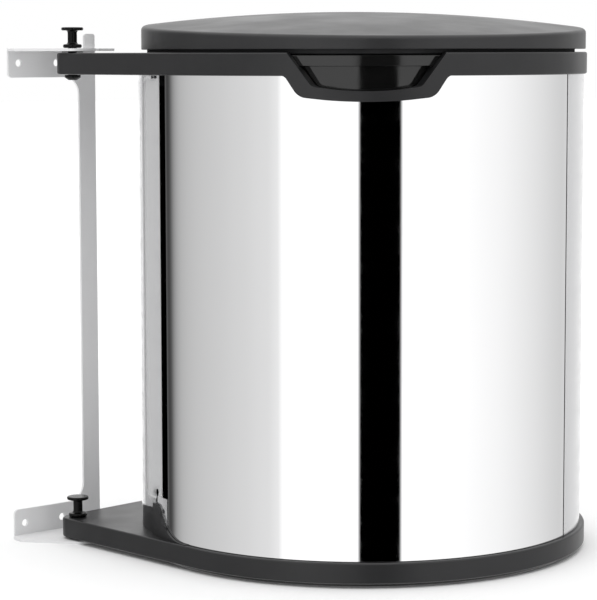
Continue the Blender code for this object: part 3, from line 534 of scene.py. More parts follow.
class Finish:
    """A Principled material with a few helpers for its nodes."""

    def __init__(self, name, roughness, metallic=0.0, specular=0.5):
        self.material = bpy.data.materials.new(f"{name}_finish")
        self.material["slot"] = name
        self.material.use_nodes = True
        self.nodes = self.material.node_tree.nodes
        self.links = self.material.node_tree.links
        self.shader = self.nodes["Principled BSDF"]
        self.shader.inputs["Roughness"].default_value = roughness
        self.shader.inputs["Metallic"].default_value = metallic
        self.shader.inputs["Specular IOR Level"].default_value = specular
        self.place = self.nodes.new("ShaderNodeTexCoord").outputs["Object"]

    def link(self, source, target):
        self.links.new(source, target)

    def noise(self, scale, detail=3.0, stretch=(1.0, 1.0, 1.0)):
        mapping = self.nodes.new("ShaderNodeMapping")
        mapping.inputs["Scale"].default_value = stretch
        self.link(self.place, mapping.inputs["Vector"])
        made = self.nodes.new("ShaderNodeTexNoise")
        made.inputs["Scale"].default_value = scale
        made.inputs["Detail"].default_value = detail
        self.link(mapping.outputs["Vector"], made.inputs["Vector"])
        return made.outputs["Fac"]

    def cells(self, scale):
        made = self.nodes.new("ShaderNodeTexVoronoi")
        made.feature = "SMOOTH_F1"
        made.inputs["Scale"].default_value = scale
        self.link(self.place, made.inputs["Vector"])
        return made.outputs["Distance"]

    def spread(self, value, low, high):
        """Maps a noise onto a range."""
        made = self.nodes.new("ShaderNodeMapRange")
        made.inputs["From Min"].default_value = NOISE_LOW
        made.inputs["From Max"].default_value = NOISE_HIGH
        made.inputs["To Min"].default_value = low
        made.inputs["To Max"].default_value = high
        self.link(value, made.inputs["Value"])
        return made.outputs["Result"]

    def colours(self, value, dark, light):
        made = self.nodes.new("ShaderNodeMix")
        made.data_type = "RGBA"
        made.inputs["A"].default_value = (*dark, 1.0)
        made.inputs["B"].default_value = (*light, 1.0)
        self.link(value, made.inputs["Factor"])
        self.link(made.outputs["Result"], self.shader.inputs["Base Color"])

    def roughen(self, value, low, high):
        self.link(self.spread(value, low, high), self.shader.inputs["Roughness"])

    def bump(self, *layers):
        """Bumps from pairs of a height and its size in metres."""
        normal = None
        for height, size in layers:
            made = self.nodes.new("ShaderNodeBump")
            made.inputs["Strength"].default_value = 1.0
            made.inputs["Distance"].default_value = size
            self.link(height, made.inputs["Height"])
            if normal:
                self.link(normal, made.inputs["Normal"])
            normal = made.outputs["Normal"]
        self.link(normal, self.shader.inputs["Normal"])


def moulded(name, dark, light, roughness, grain, specular):
    """Moulded plastic with an etched grain."""
    made = Finish(name, roughness, 0.0, specular)
    made.colours(made.noise(60.0, 5.0), dark, light)
    made.roughen(made.noise(25.0, 4.0), roughness - 0.05, roughness + 0.05)
    made.bump((made.cells(1400.0), grain), (made.noise(3200.0, 2.0), grain / 2))
    return made.material


def glossy(name, dark, light, roughness, specular):
    """Smooth plastic with slight flow marks and hairline scuffs."""
    made = Finish(name, roughness, 0.0, specular)
    made.colours(made.noise(45.0, 4.0), dark, light)
    made.roughen(made.noise(180.0, 5.0, (1.0, 1.0, 0.25)), roughness - 0.04, roughness + 0.06)
    made.bump((made.noise(35.0, 2.0), 0.00004), (made.noise(2400.0, 2.0), 0.000004))
    return made.material


def powder_coat(name):
    """White powder coat with its fine orange peel."""
    made = Finish(name, 0.42, 0.0, 0.4)
    made.colours(made.noise(30.0, 4.0), (0.74, 0.74, 0.745), (0.80, 0.80, 0.805))
    made.roughen(made.noise(90.0, 3.0), 0.38, 0.48)
    made.bump((made.noise(700.0, 2.0), 0.00003), (made.cells(1800.0), 0.000008))
    return made.material


def steel(name, dark, light, roughness, metallic, scratch):
    """Rolled sheet steel: faint polishing lines round the drum and a little handling haze."""
    made = Finish(name, roughness, metallic, 0.5)
    made.colours(made.noise(6.0, 3.0), dark, light)
    made.roughen(made.noise(22.0, 5.0, (1.0, 1.0, 6.0)), roughness * 0.7, roughness * 1.4)
    made.bump((made.noise(900.0, 4.0, (0.05, 0.05, 1.0)), scratch))
    return made.material


def rubber(name):
    made = Finish(name, 0.72, 0.0, 0.3)
    made.colours(made.noise(120.0, 4.0), (0.010, 0.010, 0.011), (0.020, 0.020, 0.021))
    made.bump((made.noise(1500.0, 3.0), 0.00002))
    return made.material


BLACK = moulded(
    "black_plastic",
    dark=(0.012, 0.012, 0.013),
    light=(0.019, 0.019, 0.020),
    roughness=0.36,
    grain=0.000012,
    specular=0.38,
)
LID_BLACK = moulded(
    "lid_plastic",
    dark=(0.014, 0.014, 0.015),
    light=(0.022, 0.022, 0.023),
    roughness=0.38,
    grain=0.000012,
    specular=0.42,
)
PIN_BLACK = glossy(
    "pin_plastic",
    dark=(0.002, 0.002, 0.002),
    light=(0.004, 0.004, 0.004),
    roughness=0.22,
    specular=0.15,
)
BUCKET_BLACK = glossy(
    "bucket_plastic",
    dark=(0.006, 0.006, 0.006),
    light=(0.009, 0.009, 0.009),
    roughness=0.07,
    specular=0.6,
)
WHITE = powder_coat("white_steel")
MIRROR = steel(
    "polished_steel",
    dark=(0.90, 0.90, 0.905),
    light=(0.95, 0.95, 0.955),
    roughness=0.035,
    metallic=1.0,
    scratch=0.0000004,
)
COATED = steel(
    "coated_steel",
    dark=(0.74, 0.74, 0.75),
    light=(0.80, 0.80, 0.81),
    roughness=0.17,
    metallic=0.8,
    scratch=0.0000004,
)
SCREW_GREY = steel(
    "dark_screw",
    dark=(0.05, 0.05, 0.055),
    light=(0.09, 0.09, 0.095),
    roughness=0.35,
    metallic=0.8,
    scratch=0.000004,
)
ROD_STEEL = steel(
    "rod_steel",
    dark=(0.55, 0.55, 0.56),
    light=(0.65, 0.65, 0.66),
    roughness=0.25,
    metallic=1.0,
    scratch=0.000003,
)
RUBBER = rubber("seal_rubber")


# The bracket and its pins.


def plate_outline(finger):
    """A bracket plate from above: from the wall out round the pivot."""
    front = [
        (0.0, BRACKET_FRONT),
        (PLATE_BULGE_OUT / 3, BRACKET_FRONT - PLATE_BULGE * 0.7),
        (PLATE_BULGE_OUT * 2 / 3, BRACKET_FRONT - PLATE_BULGE * 0.95),
        (PLATE_BULGE_OUT, BRACKET_FRONT - PLATE_BULGE),
    ]
    ear = arc((PIVOT_OUT, 0.0), PLATE_EAR, -35, 80, 3 * CORNER_STEPS)
    if not finger:
        return front + ear + [(FINGER_WIDTH, BRACKET_REAR), (0.0, BRACKET_REAR)]
    tip = BRACKET_REAR + FINGER_LENGTH
    step = BRACKET_REAR + FINGER_LENGTH / 2
    tongue = [(FINGER_WIDTH, BRACKET_REAR), (FINGER_WIDTH, step), (FINGER_WIDTH / 2, step)]
    return front + ear + tongue + [(FINGER_WIDTH / 2, tip), (0.0, tip)]


def make_bracket():
    inside = BRACKET_REAR - STRIP_WIDTH
    upper_low = PLATE_TOP - FLANGE_HEIGHT - SHEET
    lower_high = FLANGE_HEIGHT + SHEET
    corners = [
        (BRACKET_FRONT, 0.0, 0),
        (BRACKET_REAR, 0.0, 0),
        (BRACKET_REAR, PLATE_TOP, 0),
        (BRACKET_FRONT, PLATE_TOP, 0),
        (BRACKET_FRONT, upper_low, FLANGE_CORNER),
        (inside, upper_low, STRIP_FILLET),
        (inside, lower_high, STRIP_FILLET),
        (BRACKET_FRONT, lower_high, FLANGE_CORNER),
    ]
    bracket = shape("wall_bracket_shell", prism(rounded(corners), 0.0, SHEET, facing_wall))
    join(bracket, prism(plate_outline(False), 0.0, SHEET, flat))
    join(bracket, prism(plate_outline(True), PLATE_TOP - SHEET, PLATE_TOP, flat))
    near, far = TAB_BACK - TAB_WIDTH / 2, TAB_BACK + TAB_WIDTH / 2
    sunk = PLATE_TOP - SHEET / 2
    top = PLATE_TOP + TAB_HEIGHT
    tab = rounded([(near, sunk, 0), (far, sunk, 0), (far, top, SHEET), (near, top, SHEET)])
    join(bracket, prism(tab, TAB_OUT, TAB_OUT + SHEET, facing_wall))
    for middle in (WALL_HOLE_HEIGHT, PLATE_TOP - WALL_HOLE_HEIGHT):
        for side in (-1, 1):
            centre = (WALL_HOLE_CENTRE + side * WALL_HOLE_PITCH / 2, middle)
            ring = arc(centre, WALL_HOLE_RADIUS, 0, 360, SMALL_STEPS)[:-1]
            cut(bracket, prism(ring, -SHEET, 2 * SHEET, facing_wall))
    for low in (-RUN, PLATE_TOP - SHEET - RUN):
        cut(bracket, bore(low, low + SHEET + 2 * RUN, centre=(PIVOT_OUT, 0.0)))
    soften(bracket, CUT_EDGE)
    put(smooth(bracket), ON_WALL, "bracket", WHITE, ["wall_bracket"])


def pin_profile(seat, shank_low, snap):
    """A spool-shaped head on a shank, which may end in a snap that is wider than its bore."""
    top = seat + PIN_HEIGHT
    under_head = top - PIN_HEAD_SHEET
    flange = seat + PIN_FLANGE_SHEET
    corners = [(0, shank_low, 0)]
    if snap:
        shoulder = shank_low + SNAP_HEIGHT
        corners += [(SHANK_RADIUS, shank_low, 0.0003), (SNAP_RADIUS, shank_low + SNAP_HEIGHT / 2, 0.0004)]
        corners += [(SNAP_RADIUS, shoulder, 0.0005), (SHANK_RADIUS, shoulder, 0)]
    else:
        corners.append((SHANK_RADIUS, shank_low, 0.0005))
    corners += [
        (SHANK_RADIUS, seat, 0),
        (PIN_FLANGE, seat, 0.0011),
        (PIN_FLANGE, flange, 0.0011),
        (PIN_WAIST, flange, PIN_FILLET),
        (PIN_WAIST, under_head, PIN_FILLET),
        (PIN_HEAD, under_head, PIN_ROUND),
        (PIN_HEAD, top, PIN_ROUND),
        (0, top, 0),
    ]
    return rounded(corners, steps=6)


def make_pins():
    upper = pin_profile(PLATE_TOP + GAP, RING_LOW - GAP - SNAP_HEIGHT, True)
    lower = pin_profile(BASE_TOP + GAP, GAP, False)
    for end, profile in (("upper", upper), ("lower", lower)):
        pin = shape(f"{end}_pin_moulding", turned(profile, SMALL_STEPS))
        put(smooth(pin), ON_PIVOT, "bracket", PIN_BLACK, [f"{end}_pivot_pin"])


def make_collars():
    inner = SHANK_RADIUS + PLAY
    for end, low in (("upper", RING_TOP + GAP), ("lower", SHEET + GAP)):
        high = low + COLLAR_SHEET
        edge = COLLAR_SHEET / 3
        corners = [(inner, low, 0), (COLLAR_RADIUS, low, edge), (COLLAR_RADIUS, high, edge), (inner, high, 0)]
        collar = shape(f"{end}_collar_ring", turned(rounded(corners, EDGE_STEPS), SMALL_STEPS))
        put(smooth(collar), ON_PIVOT, "bracket", PIN_BLACK, [f"{end}_pivot_collar"])


# The bin.


def seat_top(phi):
    """Top of the wall below the pillar, which rises towards the slit."""
    share = (phi - PILLAR_START) / (SLIT_PHI - PILLAR_START)
    return BASE_TOP + SEAT_HEIGHT + SEAT_RISE * share


def gusset_top(phi):
    """Top of the gusset: level beside the slit, then falling in a hollow curve to the rim."""
    if phi <= GUSSET_FALL:
        return BASE_TOP + GUSSET_HEIGHT
    left = (GUSSET_END - phi) / (GUSSET_END - GUSSET_FALL)
    return BASE_TOP + GUSSET_HEIGHT * left**GUSSET_HOLLOW + GUSSET_LIP


def screw_bore(phi, height):
    radius = SCREW_SHANK + GAP
    low = UPSTAND_RADIUS - 3 * UPSTAND_WALL
    high = DRUM_RADIUS + SCREW_HEAD_HEIGHT
    return turned_about([(0, low), (radius, low), (radius, high), (0, high)], phi, height)


def rivet_phi(side):
    return RIVET_PHI + side * math.degrees(RIVET_PITCH / 2 / DRUM_RADIUS)


def rivet_bore(side):
    radius = RIVET_SHANK + GAP
    low = UPSTAND_RADIUS - 3 * UPSTAND_WALL
    high = DRUM_RADIUS + RUN
    profile = [(0, low), (radius, low), (radius, high), (0, high)]
    return turned_about(profile, rivet_phi(side), RIVET_HEIGHT)


def make_base():
    base = shape("base_moulding", teardrop_slab(BASE_RADIUS, ARM_TIP, BASE_LIFT, BASE_TOP))
    plinth = BASE_RADIUS - PLINTH_INSET
    half = BASE_TOP / 2
    foot = rounded([(0, 0, 0), (plinth, 0, EDGE_ROUND), (plinth, half, 0), (0, half, 0)])
    join(base, turned(foot))
    inside = UPSTAND_RADIUS - UPSTAND_WALL
    above = 2 * BASE_TOP
    well = rounded([(0, BASE_FLOOR, 0), (inside, BASE_FLOOR, 0.002), (inside, above, 0), (0, above, 0)])
    cut(base, turned(well))
    sunk = BASE_TOP - EDGE_ROUND
    high = BASE_TOP + UPSTAND_HEIGHT
    edge = UPSTAND_WALL / 4
    corners = [(inside, sunk, 0), (UPSTAND_RADIUS, sunk, 0)]
    corners += [(UPSTAND_RADIUS, high, edge), (inside, high, edge)]
    join(base, turned(rounded(corners, EDGE_STEPS)))
    outer = DRUM_RADIUS + GAP
    below = spread(PILLAR_START, SEAT_END)
    join(base, curved_through(inside - GAP, outer + GAP, below, sunk, seat_top))
    beside = SEAT_END - SLIT_HALF
    join(base, curved(outer, outer + GUSSET_WALL, beside, GUSSET_END, sunk, gusset_top))
    join(base, curved(inside, UPSTAND_RADIUS, beside, COVER_START, sunk, BASE_TOP + FOOT_HEIGHT - RUN))
    cut(base, bore(0.0, above))
    cut(base, screw_bore(FOOT_SCREW_PHI, FOOT_SCREW_HEIGHT))
    for phi in SHELL_SCREW_PHI:
        cut(base, screw_bore(phi, SHELL_SCREW_HEIGHT))
    put(smooth(base), ON_DRUM, "bin", BLACK, ["base_plate"])


def recess_cutter():
    """The finger recess, which closes in towards the bucket."""
    taper = 2 * RECESS_TAPER
    outside = trapezoid(RECESS_TOP, RECESS_BOTTOM, RECESS_DEPTH, RECESS_CORNER)
    inside = trapezoid(RECESS_TOP - taper, RECESS_BOTTOM - taper, RECESS_DEPTH, RECESS_CORNER)
    front = RING_RADIUS + RUN
    back = LEDGE_BORE * math.cos(math.asin(RECESS_TOP / 2 / LEDGE_BORE)) - RUN
    rings = [[facing_recess(u, v, back) for u, v in inside]]
    rings.append([facing_recess(u, v, front) for u, v in outside])
    return loft(rings)


def hinge_lug(side):
    """Ear behind the ring that holds one end of the lid's rod."""
    inner = TONGUE_WIDTH / 2 + RUN
    outer = inner + LUG_WIDTH
    root = math.sqrt((SKIRT_INSIDE + RING_SKIRT / 2) ** 2 - outer**2)
    knuckle = arc((HINGE_OUT, HINGE_HEIGHT), KNUCKLE, -90, 90, 3 * CORNER_STEPS)
    outline = [(root, HINGE_HEIGHT - KNUCKLE)] + knuckle + [(root, HINGE_HEIGHT + KNUCKLE)]
    ceiling = RING_TOP - EDGE_ROUND / 2
    low, high = sorted((side * inner, side * outer))
    return prism([(u, min(v, ceiling)) for u, v in outline], low, high, facing_wall)


def hinge_bore():
    ring = arc((HINGE_OUT, HINGE_HEIGHT), ROD_RADIUS + GAP, 0, 360, SMALL_STEPS)[:-1]
    return prism(ring, -TONGUE_WIDTH, TONGUE_WIDTH, facing_wall)


def make_ring():
    ring = shape("ring_moulding", teardrop_slab(RING_RADIUS, ARM_TIP, RING_LOW, RING_TOP))
    below = RING_LOW - RUN
    above = RING_TOP + RUN
    hollow = [
        (0, below, 0),
        (SKIRT_INSIDE, below, 0),
        (SKIRT_INSIDE, CHANNEL_TOP, 0),
        (CHANNEL_INSIDE, CHANNEL_TOP, 0),
        (CHANNEL_INSIDE, LEDGE_TOP - LEDGE_SHEET, 0),
        (LEDGE_BORE, LEDGE_TOP - LEDGE_SHEET, 0.0006),
        (LEDGE_BORE, LEDGE_TOP, 0.0006),
        (RING_BORE, LEDGE_TOP, 0.0004),
        (RING_BORE, above, 0),
        (0, above, 0),
    ]
    cut(ring, turned(rounded(hollow, EDGE_STEPS)))
    widest = math.degrees(math.asin(HOOD_TOP / RING_RADIUS)) * HOOD_REACH
    hood_low = RING_TOP - HOOD_DEPTH - RUN
    deck = RING_TOP - EDGE_ROUND
    outline = trapezoid(HOOD_TOP, HOOD_BOTTOM, HOOD_DEPTH, HOOD_CORNER, fillet=HOOD_FILLET)
    skirt = shape("hood_skirt", curved(SKIRT_INSIDE, RING_RADIUS, -widest, widest, hood_low, deck))
    keep_inside(skirt, prism(outline, 0.0, 2 * RING_RADIUS, facing_recess))
    join(ring, skirt)
    shrunk = trapezoid(HOOD_TOP, HOOD_BOTTOM, HOOD_DEPTH, HOOD_CORNER - HOOD_LAP, HOOD_LAP)
    middle = SKIRT_INSIDE + RING_SKIRT / 2
    for inner, top in ((LEDGE_BORE, LEDGE_TOP), (RING_BORE, deck)):
        lining = shape("hood_lining", curved(inner, middle, -widest, widest, hood_low, top))
        keep_inside(lining, prism(shrunk, 0.0, 2 * RING_RADIUS, facing_recess))
        join(ring, lining)
    cut(ring, recess_cutter())
    tongue_start, tongue_end = PILLAR_START + 1, PILLAR_END - 1
    back = CHANNEL_INSIDE - INNER_WALL / 2
    high = CHANNEL_TOP + RING_DECK / 2
    join(ring, curved(back, UPSTAND_RADIUS, tongue_start, tongue_end, RING_TOP - TONGUE_DROP, high))
    for side in (-1, 1):
        cut(ring, rivet_bore(side))
        join(ring, hinge_lug(side))
    cut(ring, hinge_bore())
    cut(ring, bore(below, above))
    put(smooth(ring), ON_DRUM, "bin", BLACK, ["top_ring"])


def make_cover():
    inner = DRUM_RADIUS - COVER_SHEET
    cover = shape("cover_sheet", curved(inner, DRUM_RADIUS, COVER_START, COVER_END, DRUM_LOW, DRUM_HIGH))
    lap = HOOD_LAP - GAP
    notch = trapezoid(HOOD_TOP, HOOD_BOTTOM, HOOD_DEPTH, HOOD_CORNER - HOOD_LAP, lap)
    cut(cover, prism(notch, 0.0, 2 * RING_RADIUS, facing_recess))
    put(smooth_round(cover), ON_DRUM, "bin", MIRROR, ["front_cover"])


def make_rear_shell():
    inner = DRUM_RADIUS - COVER_SHEET
    shell = shape("rear_sheet", curved(inner, DRUM_RADIUS, COVER_END + SEAM, SHELL_END, DRUM_LOW, DRUM_HIGH))
    for phi in SHELL_SCREW_PHI:
        cut(shell, screw_bore(phi, SHELL_SCREW_HEIGHT))
    put(smooth_round(shell), ON_DRUM, "bin", COATED, ["rear_shell"])


def make_seam_strip():
    inner = SEAM_STRIP_OUT - SEAM_STRIP_SHEET
    middle = COVER_END + SEAM / 2
    start, end = middle - SEAM_STRIP_HALF, middle + SEAM_STRIP_HALF
    low = BASE_TOP + UPSTAND_HEIGHT + RUN
    strip = shape("seam_backing", curved(inner, SEAM_STRIP_OUT, start, end, low, DRUM_HIGH))
    put(smooth_round(strip), ON_DRUM, "bin", BLACK, ["seam_strip"])


def panel_depth(side, height):
    """How deep the pillar's panel is pressed at a place. Its far side runs out at a thin lip."""
    corner = PANEL_CORNER
    u = PANEL_BORDER + corner - side
    v = max(PANEL_LOW + corner - height, height - PANEL_HIGH + corner)
    if u > 0 and v > 0:
        outside = math.hypot(u, v) - corner
    else:
        outside = max(u, v) - corner
    outside = max(outside, side - PILLAR_WIDTH + PANEL_LIP)
    share = min(max(-outside / PANEL_SLOPE, 0.0), 1.0)
    return PANEL_DEPTH * share * share * (3 - 2 * share)


def pillar_levels(low, near_end):
    """Heights of the pillar's rows, which lie close together near its two ends."""
    count = round(near_end / PANEL_STEP)
    high = DRUM_HIGH - near_end
    span = high - low - near_end
    levels = [low + near_end * i / count for i in range(count + 1)]
    levels += [low + near_end + span * i / PANEL_PLAIN_ROWS for i in range(1, PANEL_PLAIN_ROWS)]
    return levels + [high + near_end * i / count for i in range(count + 1)]


def pressed_strip():
    """The pillar's sheet with its pressed panel. Its lower end follows the wall below it."""
    low = BASE_TOP + SEAT_HEIGHT + GAP
    near_end = PANEL_LOW + PANEL_CORNER + PANEL_SLOPE - low
    columns = round(PILLAR_WIDTH / PANEL_STEP)
    bm = bmesh.new()
    fronts, backs = [], []
    for level in pillar_levels(low, near_end):
        follow = max(0.0, 1 - (level - low) / near_end)
        front_row, back_row = [], []
        for i in range(columns + 1):
            phi = PILLAR_START + (PILLAR_END - PILLAR_START) * i / columns
            height = level + follow * (seat_top(phi) + GAP - low)
            radius = DRUM_RADIUS - panel_depth(PILLAR_WIDTH * i / columns, height)
            front_row.append(bm.verts.new(point(radius, phi, height)))
            back_row.append(bm.verts.new(point(radius - PRESSED_SHEET, phi, height)))
        fronts.append(front_row)
        backs.append(back_row)
    for grid in (fronts, backs):
        for lower, upper in zip(grid, grid[1:]):
            for i in range(columns):
                bm.faces.new((lower[i], lower[i + 1], upper[i + 1], upper[i]))
    for j in range(len(fronts) - 1):
        for i in (0, columns):
            bm.faces.new((fronts[j][i], fronts[j + 1][i], backs[j + 1][i], backs[j][i]))
    for front, back in ((fronts[0], backs[0]), (fronts[-1], backs[-1])):
        for i in range(columns):
            bm.faces.new((front[i], front[i + 1], back[i + 1], back[i]))
    return bm


def make_pillar():
    back = DRUM_RADIUS - PILLAR_SHEET
    pillar = shape("pillar_strip", pressed_strip())
    join(pillar, curved(back, DRUM_RADIUS, SLIT_PHI, FOOT_END, DRUM_LOW, BASE_TOP + FOOT_HEIGHT))
    past, before = DRUM_RADIUS + RUN, back - RUN
    cut(pillar, curved(before, past, SEAT_END, FOOT_START, BASE_TOP - RUN, SLIT_TOP))
    hole = [(0, before), (SLIT_HOLE, before), (SLIT_HOLE, past), (0, past)]
    cut(pillar, turned_about(hole, SLIT_PHI, SLIT_TOP))
    cut(pillar, screw_bore(FOOT_SCREW_PHI, FOOT_SCREW_HEIGHT))
    for side in (-1, 1):
        cut(pillar, rivet_bore(side))
    put(smooth(pillar, 50), ON_DRUM, "bin", COATED, ["hinge_side_pillar"])


def headed(head, height, shank, seat, end):
    """Profile of a dome-headed fastener from its tip to its crown."""
    dome = []
    for step in range(CORNER_STEPS + 1):
        turn = math.pi / 2 * step / CORNER_STEPS
        dome.append((head * math.cos(turn), seat + height * (0.2 + 0.8 * math.sin(turn))))
    dome[-1] = (0, dome[-1][1])
    return [(0, end), (shank, end), (shank, seat), (head, seat)] + dome


def cross_slot(phi, height, reach, crown):
    """Two crossed bars that cut a driver's recess in a screw's crown."""
    out = point(1.0, phi, 0.0)
    side = Vector((-out.y, out.x, 0.0))
    up = Vector((0.0, 0.0, 1.0))
    middle = out * crown + up * height
    bars = []
    for first, second in ((side, up), (up, side)):
        a, b = first * reach, second * (reach / 4)
        ends = (middle - out * reach / 2, middle + out * reach)
        bars.append(loft([[end - a - b, end + a - b, end + a + b, end - a + b] for end in ends]))
    return bars


def make_fasteners():
    seat = DRUM_RADIUS + GAP
    end = UPSTAND_RADIUS - UPSTAND_WALL
    rivet = headed(RIVET_HEAD, RIVET_HEAD / 2, RIVET_SHANK, seat, end)
    for name, side in (("rear", -1), ("front", 1)):
        made = shape(f"{name}_rivet_dome", turned_about(rivet, rivet_phi(side), RIVET_HEIGHT, RIVET_STEPS))
        put(smooth(made), ON_DRUM, "bin", SCREW_GREY, [f"pillar_rivet_{name}"])
    screw = headed(SCREW_HEAD, SCREW_HEAD_HEIGHT, SCREW_SHANK, seat, end)
    crown = seat + SCREW_HEAD_HEIGHT
    for i, phi in enumerate(SHELL_SCREW_PHI, 1):
        made = shape(f"cross_screw_{i}", turned_about(screw, phi, SHELL_SCREW_HEIGHT))
        for bar in cross_slot(phi, SHELL_SCREW_HEIGHT, SCREW_HEAD / 2, crown):
            cut(made, bar)
        put(smooth(made), ON_DRUM, "bin", SCREW_GREY, [f"shell_screw_{i}"])
    sunk = headed(SCREW_SHANK, SCREW_HEAD_HEIGHT / 2, SCREW_SHANK, seat - PILLAR_SHEET, end)
    made = shape("foot_screw_dome", turned_about(sunk, FOOT_SCREW_PHI, FOOT_SCREW_HEIGHT))
    put(smooth(made), ON_DRUM, "bin", SCREW_GREY, ["pillar_foot_screw"])


def make_bucket():
    top, bottom = BUCKET_HIGH, BUCKET_LOW
    lip = RING_BORE - PLAY
    foot = BUCKET_TOP_RADIUS - BUCKET_TAPER
    wall = BUCKET_WALL
    under = top - BUCKET_LIP_HEIGHT
    corners = [
        (0, bottom, 0),
        (foot, bottom, BUCKET_FOOT_ROUND),
        (BUCKET_TOP_RADIUS, top - wall, 0.0003),
        (lip - wall, top - wall, 0.0003),
        (lip - wall, under, 0.0005),
        (lip, under, 0.0005),
        (lip, top, 0.0012),
        (BUCKET_TOP_RADIUS - wall, top, 0.0012),
        (foot - wall, bottom + wall, BUCKET_FOOT_ROUND - wall),
        (0, bottom + wall, 0),
    ]
    bucket = shape("bucket_moulding", turned(rounded(corners)))
    put(smooth(bucket), ON_DRUM, "bin", BUCKET_BLACK, ["inner_bucket"])


# The lid.


def lid_top(spot):
    """Height of the lid's dome, which slopes up towards the hinge and leans to one side."""
    tilt = (LID_SLOPE * spot.y - LID_LEAN * spot.x) / LID_RADIUS
    across = math.hypot(spot.x, spot.y) / LID_RADIUS
    return RING_TOP + LID_CROWN + tilt - LID_DOME * across**2


def lid_column(phi):
    """The lid's section at one angle, from the middle of the top to the middle of the underside."""
    skirt_in = LID_RADIUS - LID_WALL
    rib_out = skirt_in - RIB_INSET
    rib_in = rib_out - RIB_WALL
    shoulder = LID_RADIUS - LID_ROUND
    dome = [shoulder * i / LID_TOP_RINGS for i in range(LID_TOP_RINGS)]
    section = [(radius, lid_top(point(radius, phi, 0.0))) for radius in dome]
    rim = lid_top(point(shoulder, phi, 0.0))
    for step in range(CORNER_STEPS + 1):
        turn = math.pi / 2 * (1 - step / CORNER_STEPS)
        section.append((shoulder + LID_ROUND * math.cos(turn), rim - LID_ROUND * (1 - math.sin(turn))))
    section += [
        (LID_RADIUS, LID_LOW + LID_EDGE),
        (LID_RADIUS - LID_EDGE / 3, LID_LOW + LID_EDGE / 3),
        (LID_RADIUS - LID_EDGE, LID_LOW),
        (skirt_in, LID_LOW),
        (skirt_in, rim - LID_WALL),
        (rib_out, lid_top(point(rib_out, phi, 0.0)) - LID_WALL),
        (rib_out, LID_LOW + GAP),
        (rib_in, LID_LOW + GAP),
    ]
    for i in range(LID_UNDER_RINGS, -1, -1):
        radius = rib_in * i / LID_UNDER_RINGS
        section.append((radius, lid_top(point(radius, phi, 0.0)) - LID_WALL))
    return [point(radius, phi, height) + Vector((LID_SHIFT, 0.0, 0.0)) for radius, height in section]


def hinge_tongue():
    """Strap behind the lid that hooks down round the hinge rod."""
    half = TONGUE_WIDTH / 2
    low = LID_LOW + GAP
    high = low + STRAP
    root = LID_RADIUS - STRAP_ROOT
    back = HINGE_OUT + KNUCKLE
    knuckle = arc((HINGE_OUT, HINGE_HEIGHT), KNUCKLE, 90, 360, 6 * CORNER_STEPS)
    outline = [(root, low), (HINGE_OUT, low)] + knuckle
    outline += arc((back - STRAP / 2, high - STRAP / 2), STRAP / 2, 0, 90, CORNER_STEPS)
    return prism(outline + [(root, high)], -half, half, facing_wall)


def make_lid():
    steps = DRUM_STEPS
    columns = [lid_column(360 * i / steps) for i in range(steps)]
    bm = bmesh.new()
    top = bm.verts.new(columns[0][0])
    under = bm.verts.new(columns[0][-1])
    grid = [[top] + [bm.verts.new(spot) for spot in column[1:-1]] + [under] for column in columns]
    for i, left in enumerate(grid):
        right = grid[(i + 1) % steps]
        for j in range(len(left) - 1):
            bm.faces.new(list(dict.fromkeys((left[j], left[j + 1], right[j + 1], right[j]))))
    lid = shape("lid_moulding", bm)
    join(lid, hinge_tongue())
    cut(lid, hinge_bore())
    put(smooth(lid), ON_DRUM, "lid", LID_BLACK, ["lid_shell"])


def make_seal():
    """The lid's seal, which reaches a little into the ring's bore."""
    outside = LID_RADIUS - LID_WALL - RIB_INSET
    inside = outside - SEAL_WIDTH
    lip = SEAL_WIDTH / 4
    corners = [(inside, SEAL_LOW, lip), (outside, SEAL_LOW, lip), (outside, LID_LOW, 0), (inside, LID_LOW, 0)]
    seal = shape("seal_ring", turned(rounded(corners, steps=4)))
    put(smooth(seal), ON_DRUM, "lid", RUBBER, ["lid_seal"])


def make_hinge_rod():
    end = TONGUE_WIDTH / 2 + RUN + LUG_WIDTH + RUN
    edge = ROD_RADIUS / 4
    corners = [(0, -end, 0), (ROD_RADIUS, -end, edge), (ROD_RADIUS, end, edge), (0, end, 0)]
    rod = shape("hinge_rod_pin", turned(rounded(corners, EDGE_STEPS), SMALL_STEPS))
    lie = Matrix.Rotation(math.pi / 2, 4, "Y")
    rod.data.transform(Matrix.Translation((0.0, HINGE_OUT, HINGE_HEIGHT)) @ lie)
    put(smooth(rod), ON_DRUM, "bin", ROD_STEEL, ["lid_hinge_rod"])


# The studio.

# Brightness all round, by the angle from the camera's side. Positive is to the right of the object.
STUDIO_LEVEL = 1.15
OVERHEAD = 1.4
OVERHEAD_FROM = 25  # degrees above level
OVERHEAD_FULL = 60
AROUND = (
    (-180, 1.0),
    (-153, 1.0),
    (-149, 0.5),
    (-126, 0.5),
    (-119, 0.04),
    (-116, 0.06),
    (-112, 0.27),
    (-109, 0.36),
    (-106, 0.42),
    (-101, 0.465),
    (-95, 0.50),
    (-88, 0.53),
    (-75.6, 0.57),
    (-68.6, 0.60),
    (-61.8, 0.62),
    (-55, 0.655),
    (-48.8, 0.676),
    (-43.5, 0.76),
    (-41, 1.0),
    (-1.9, 1.0),
    (-1.7, 0.0),
    (19.4, 0.0),
    (19.6, 1.0),
    (45, 0.98),
    (75, 0.86),
    (95, 0.74),
    (115, 0.62),
    (124, 0.58),
    (140, 0.66),
    (160, 0.85),
    (180, 1.0),
)

CAMERA_PLACE = Vector((1.336, -0.968, 0.3266))
CAMERA_PITCH = 5.99
CAMERA_ROLL = -0.12
CAMERA_LENS = 141.6  # millimetres
CAMERA_SENSOR = 36.0


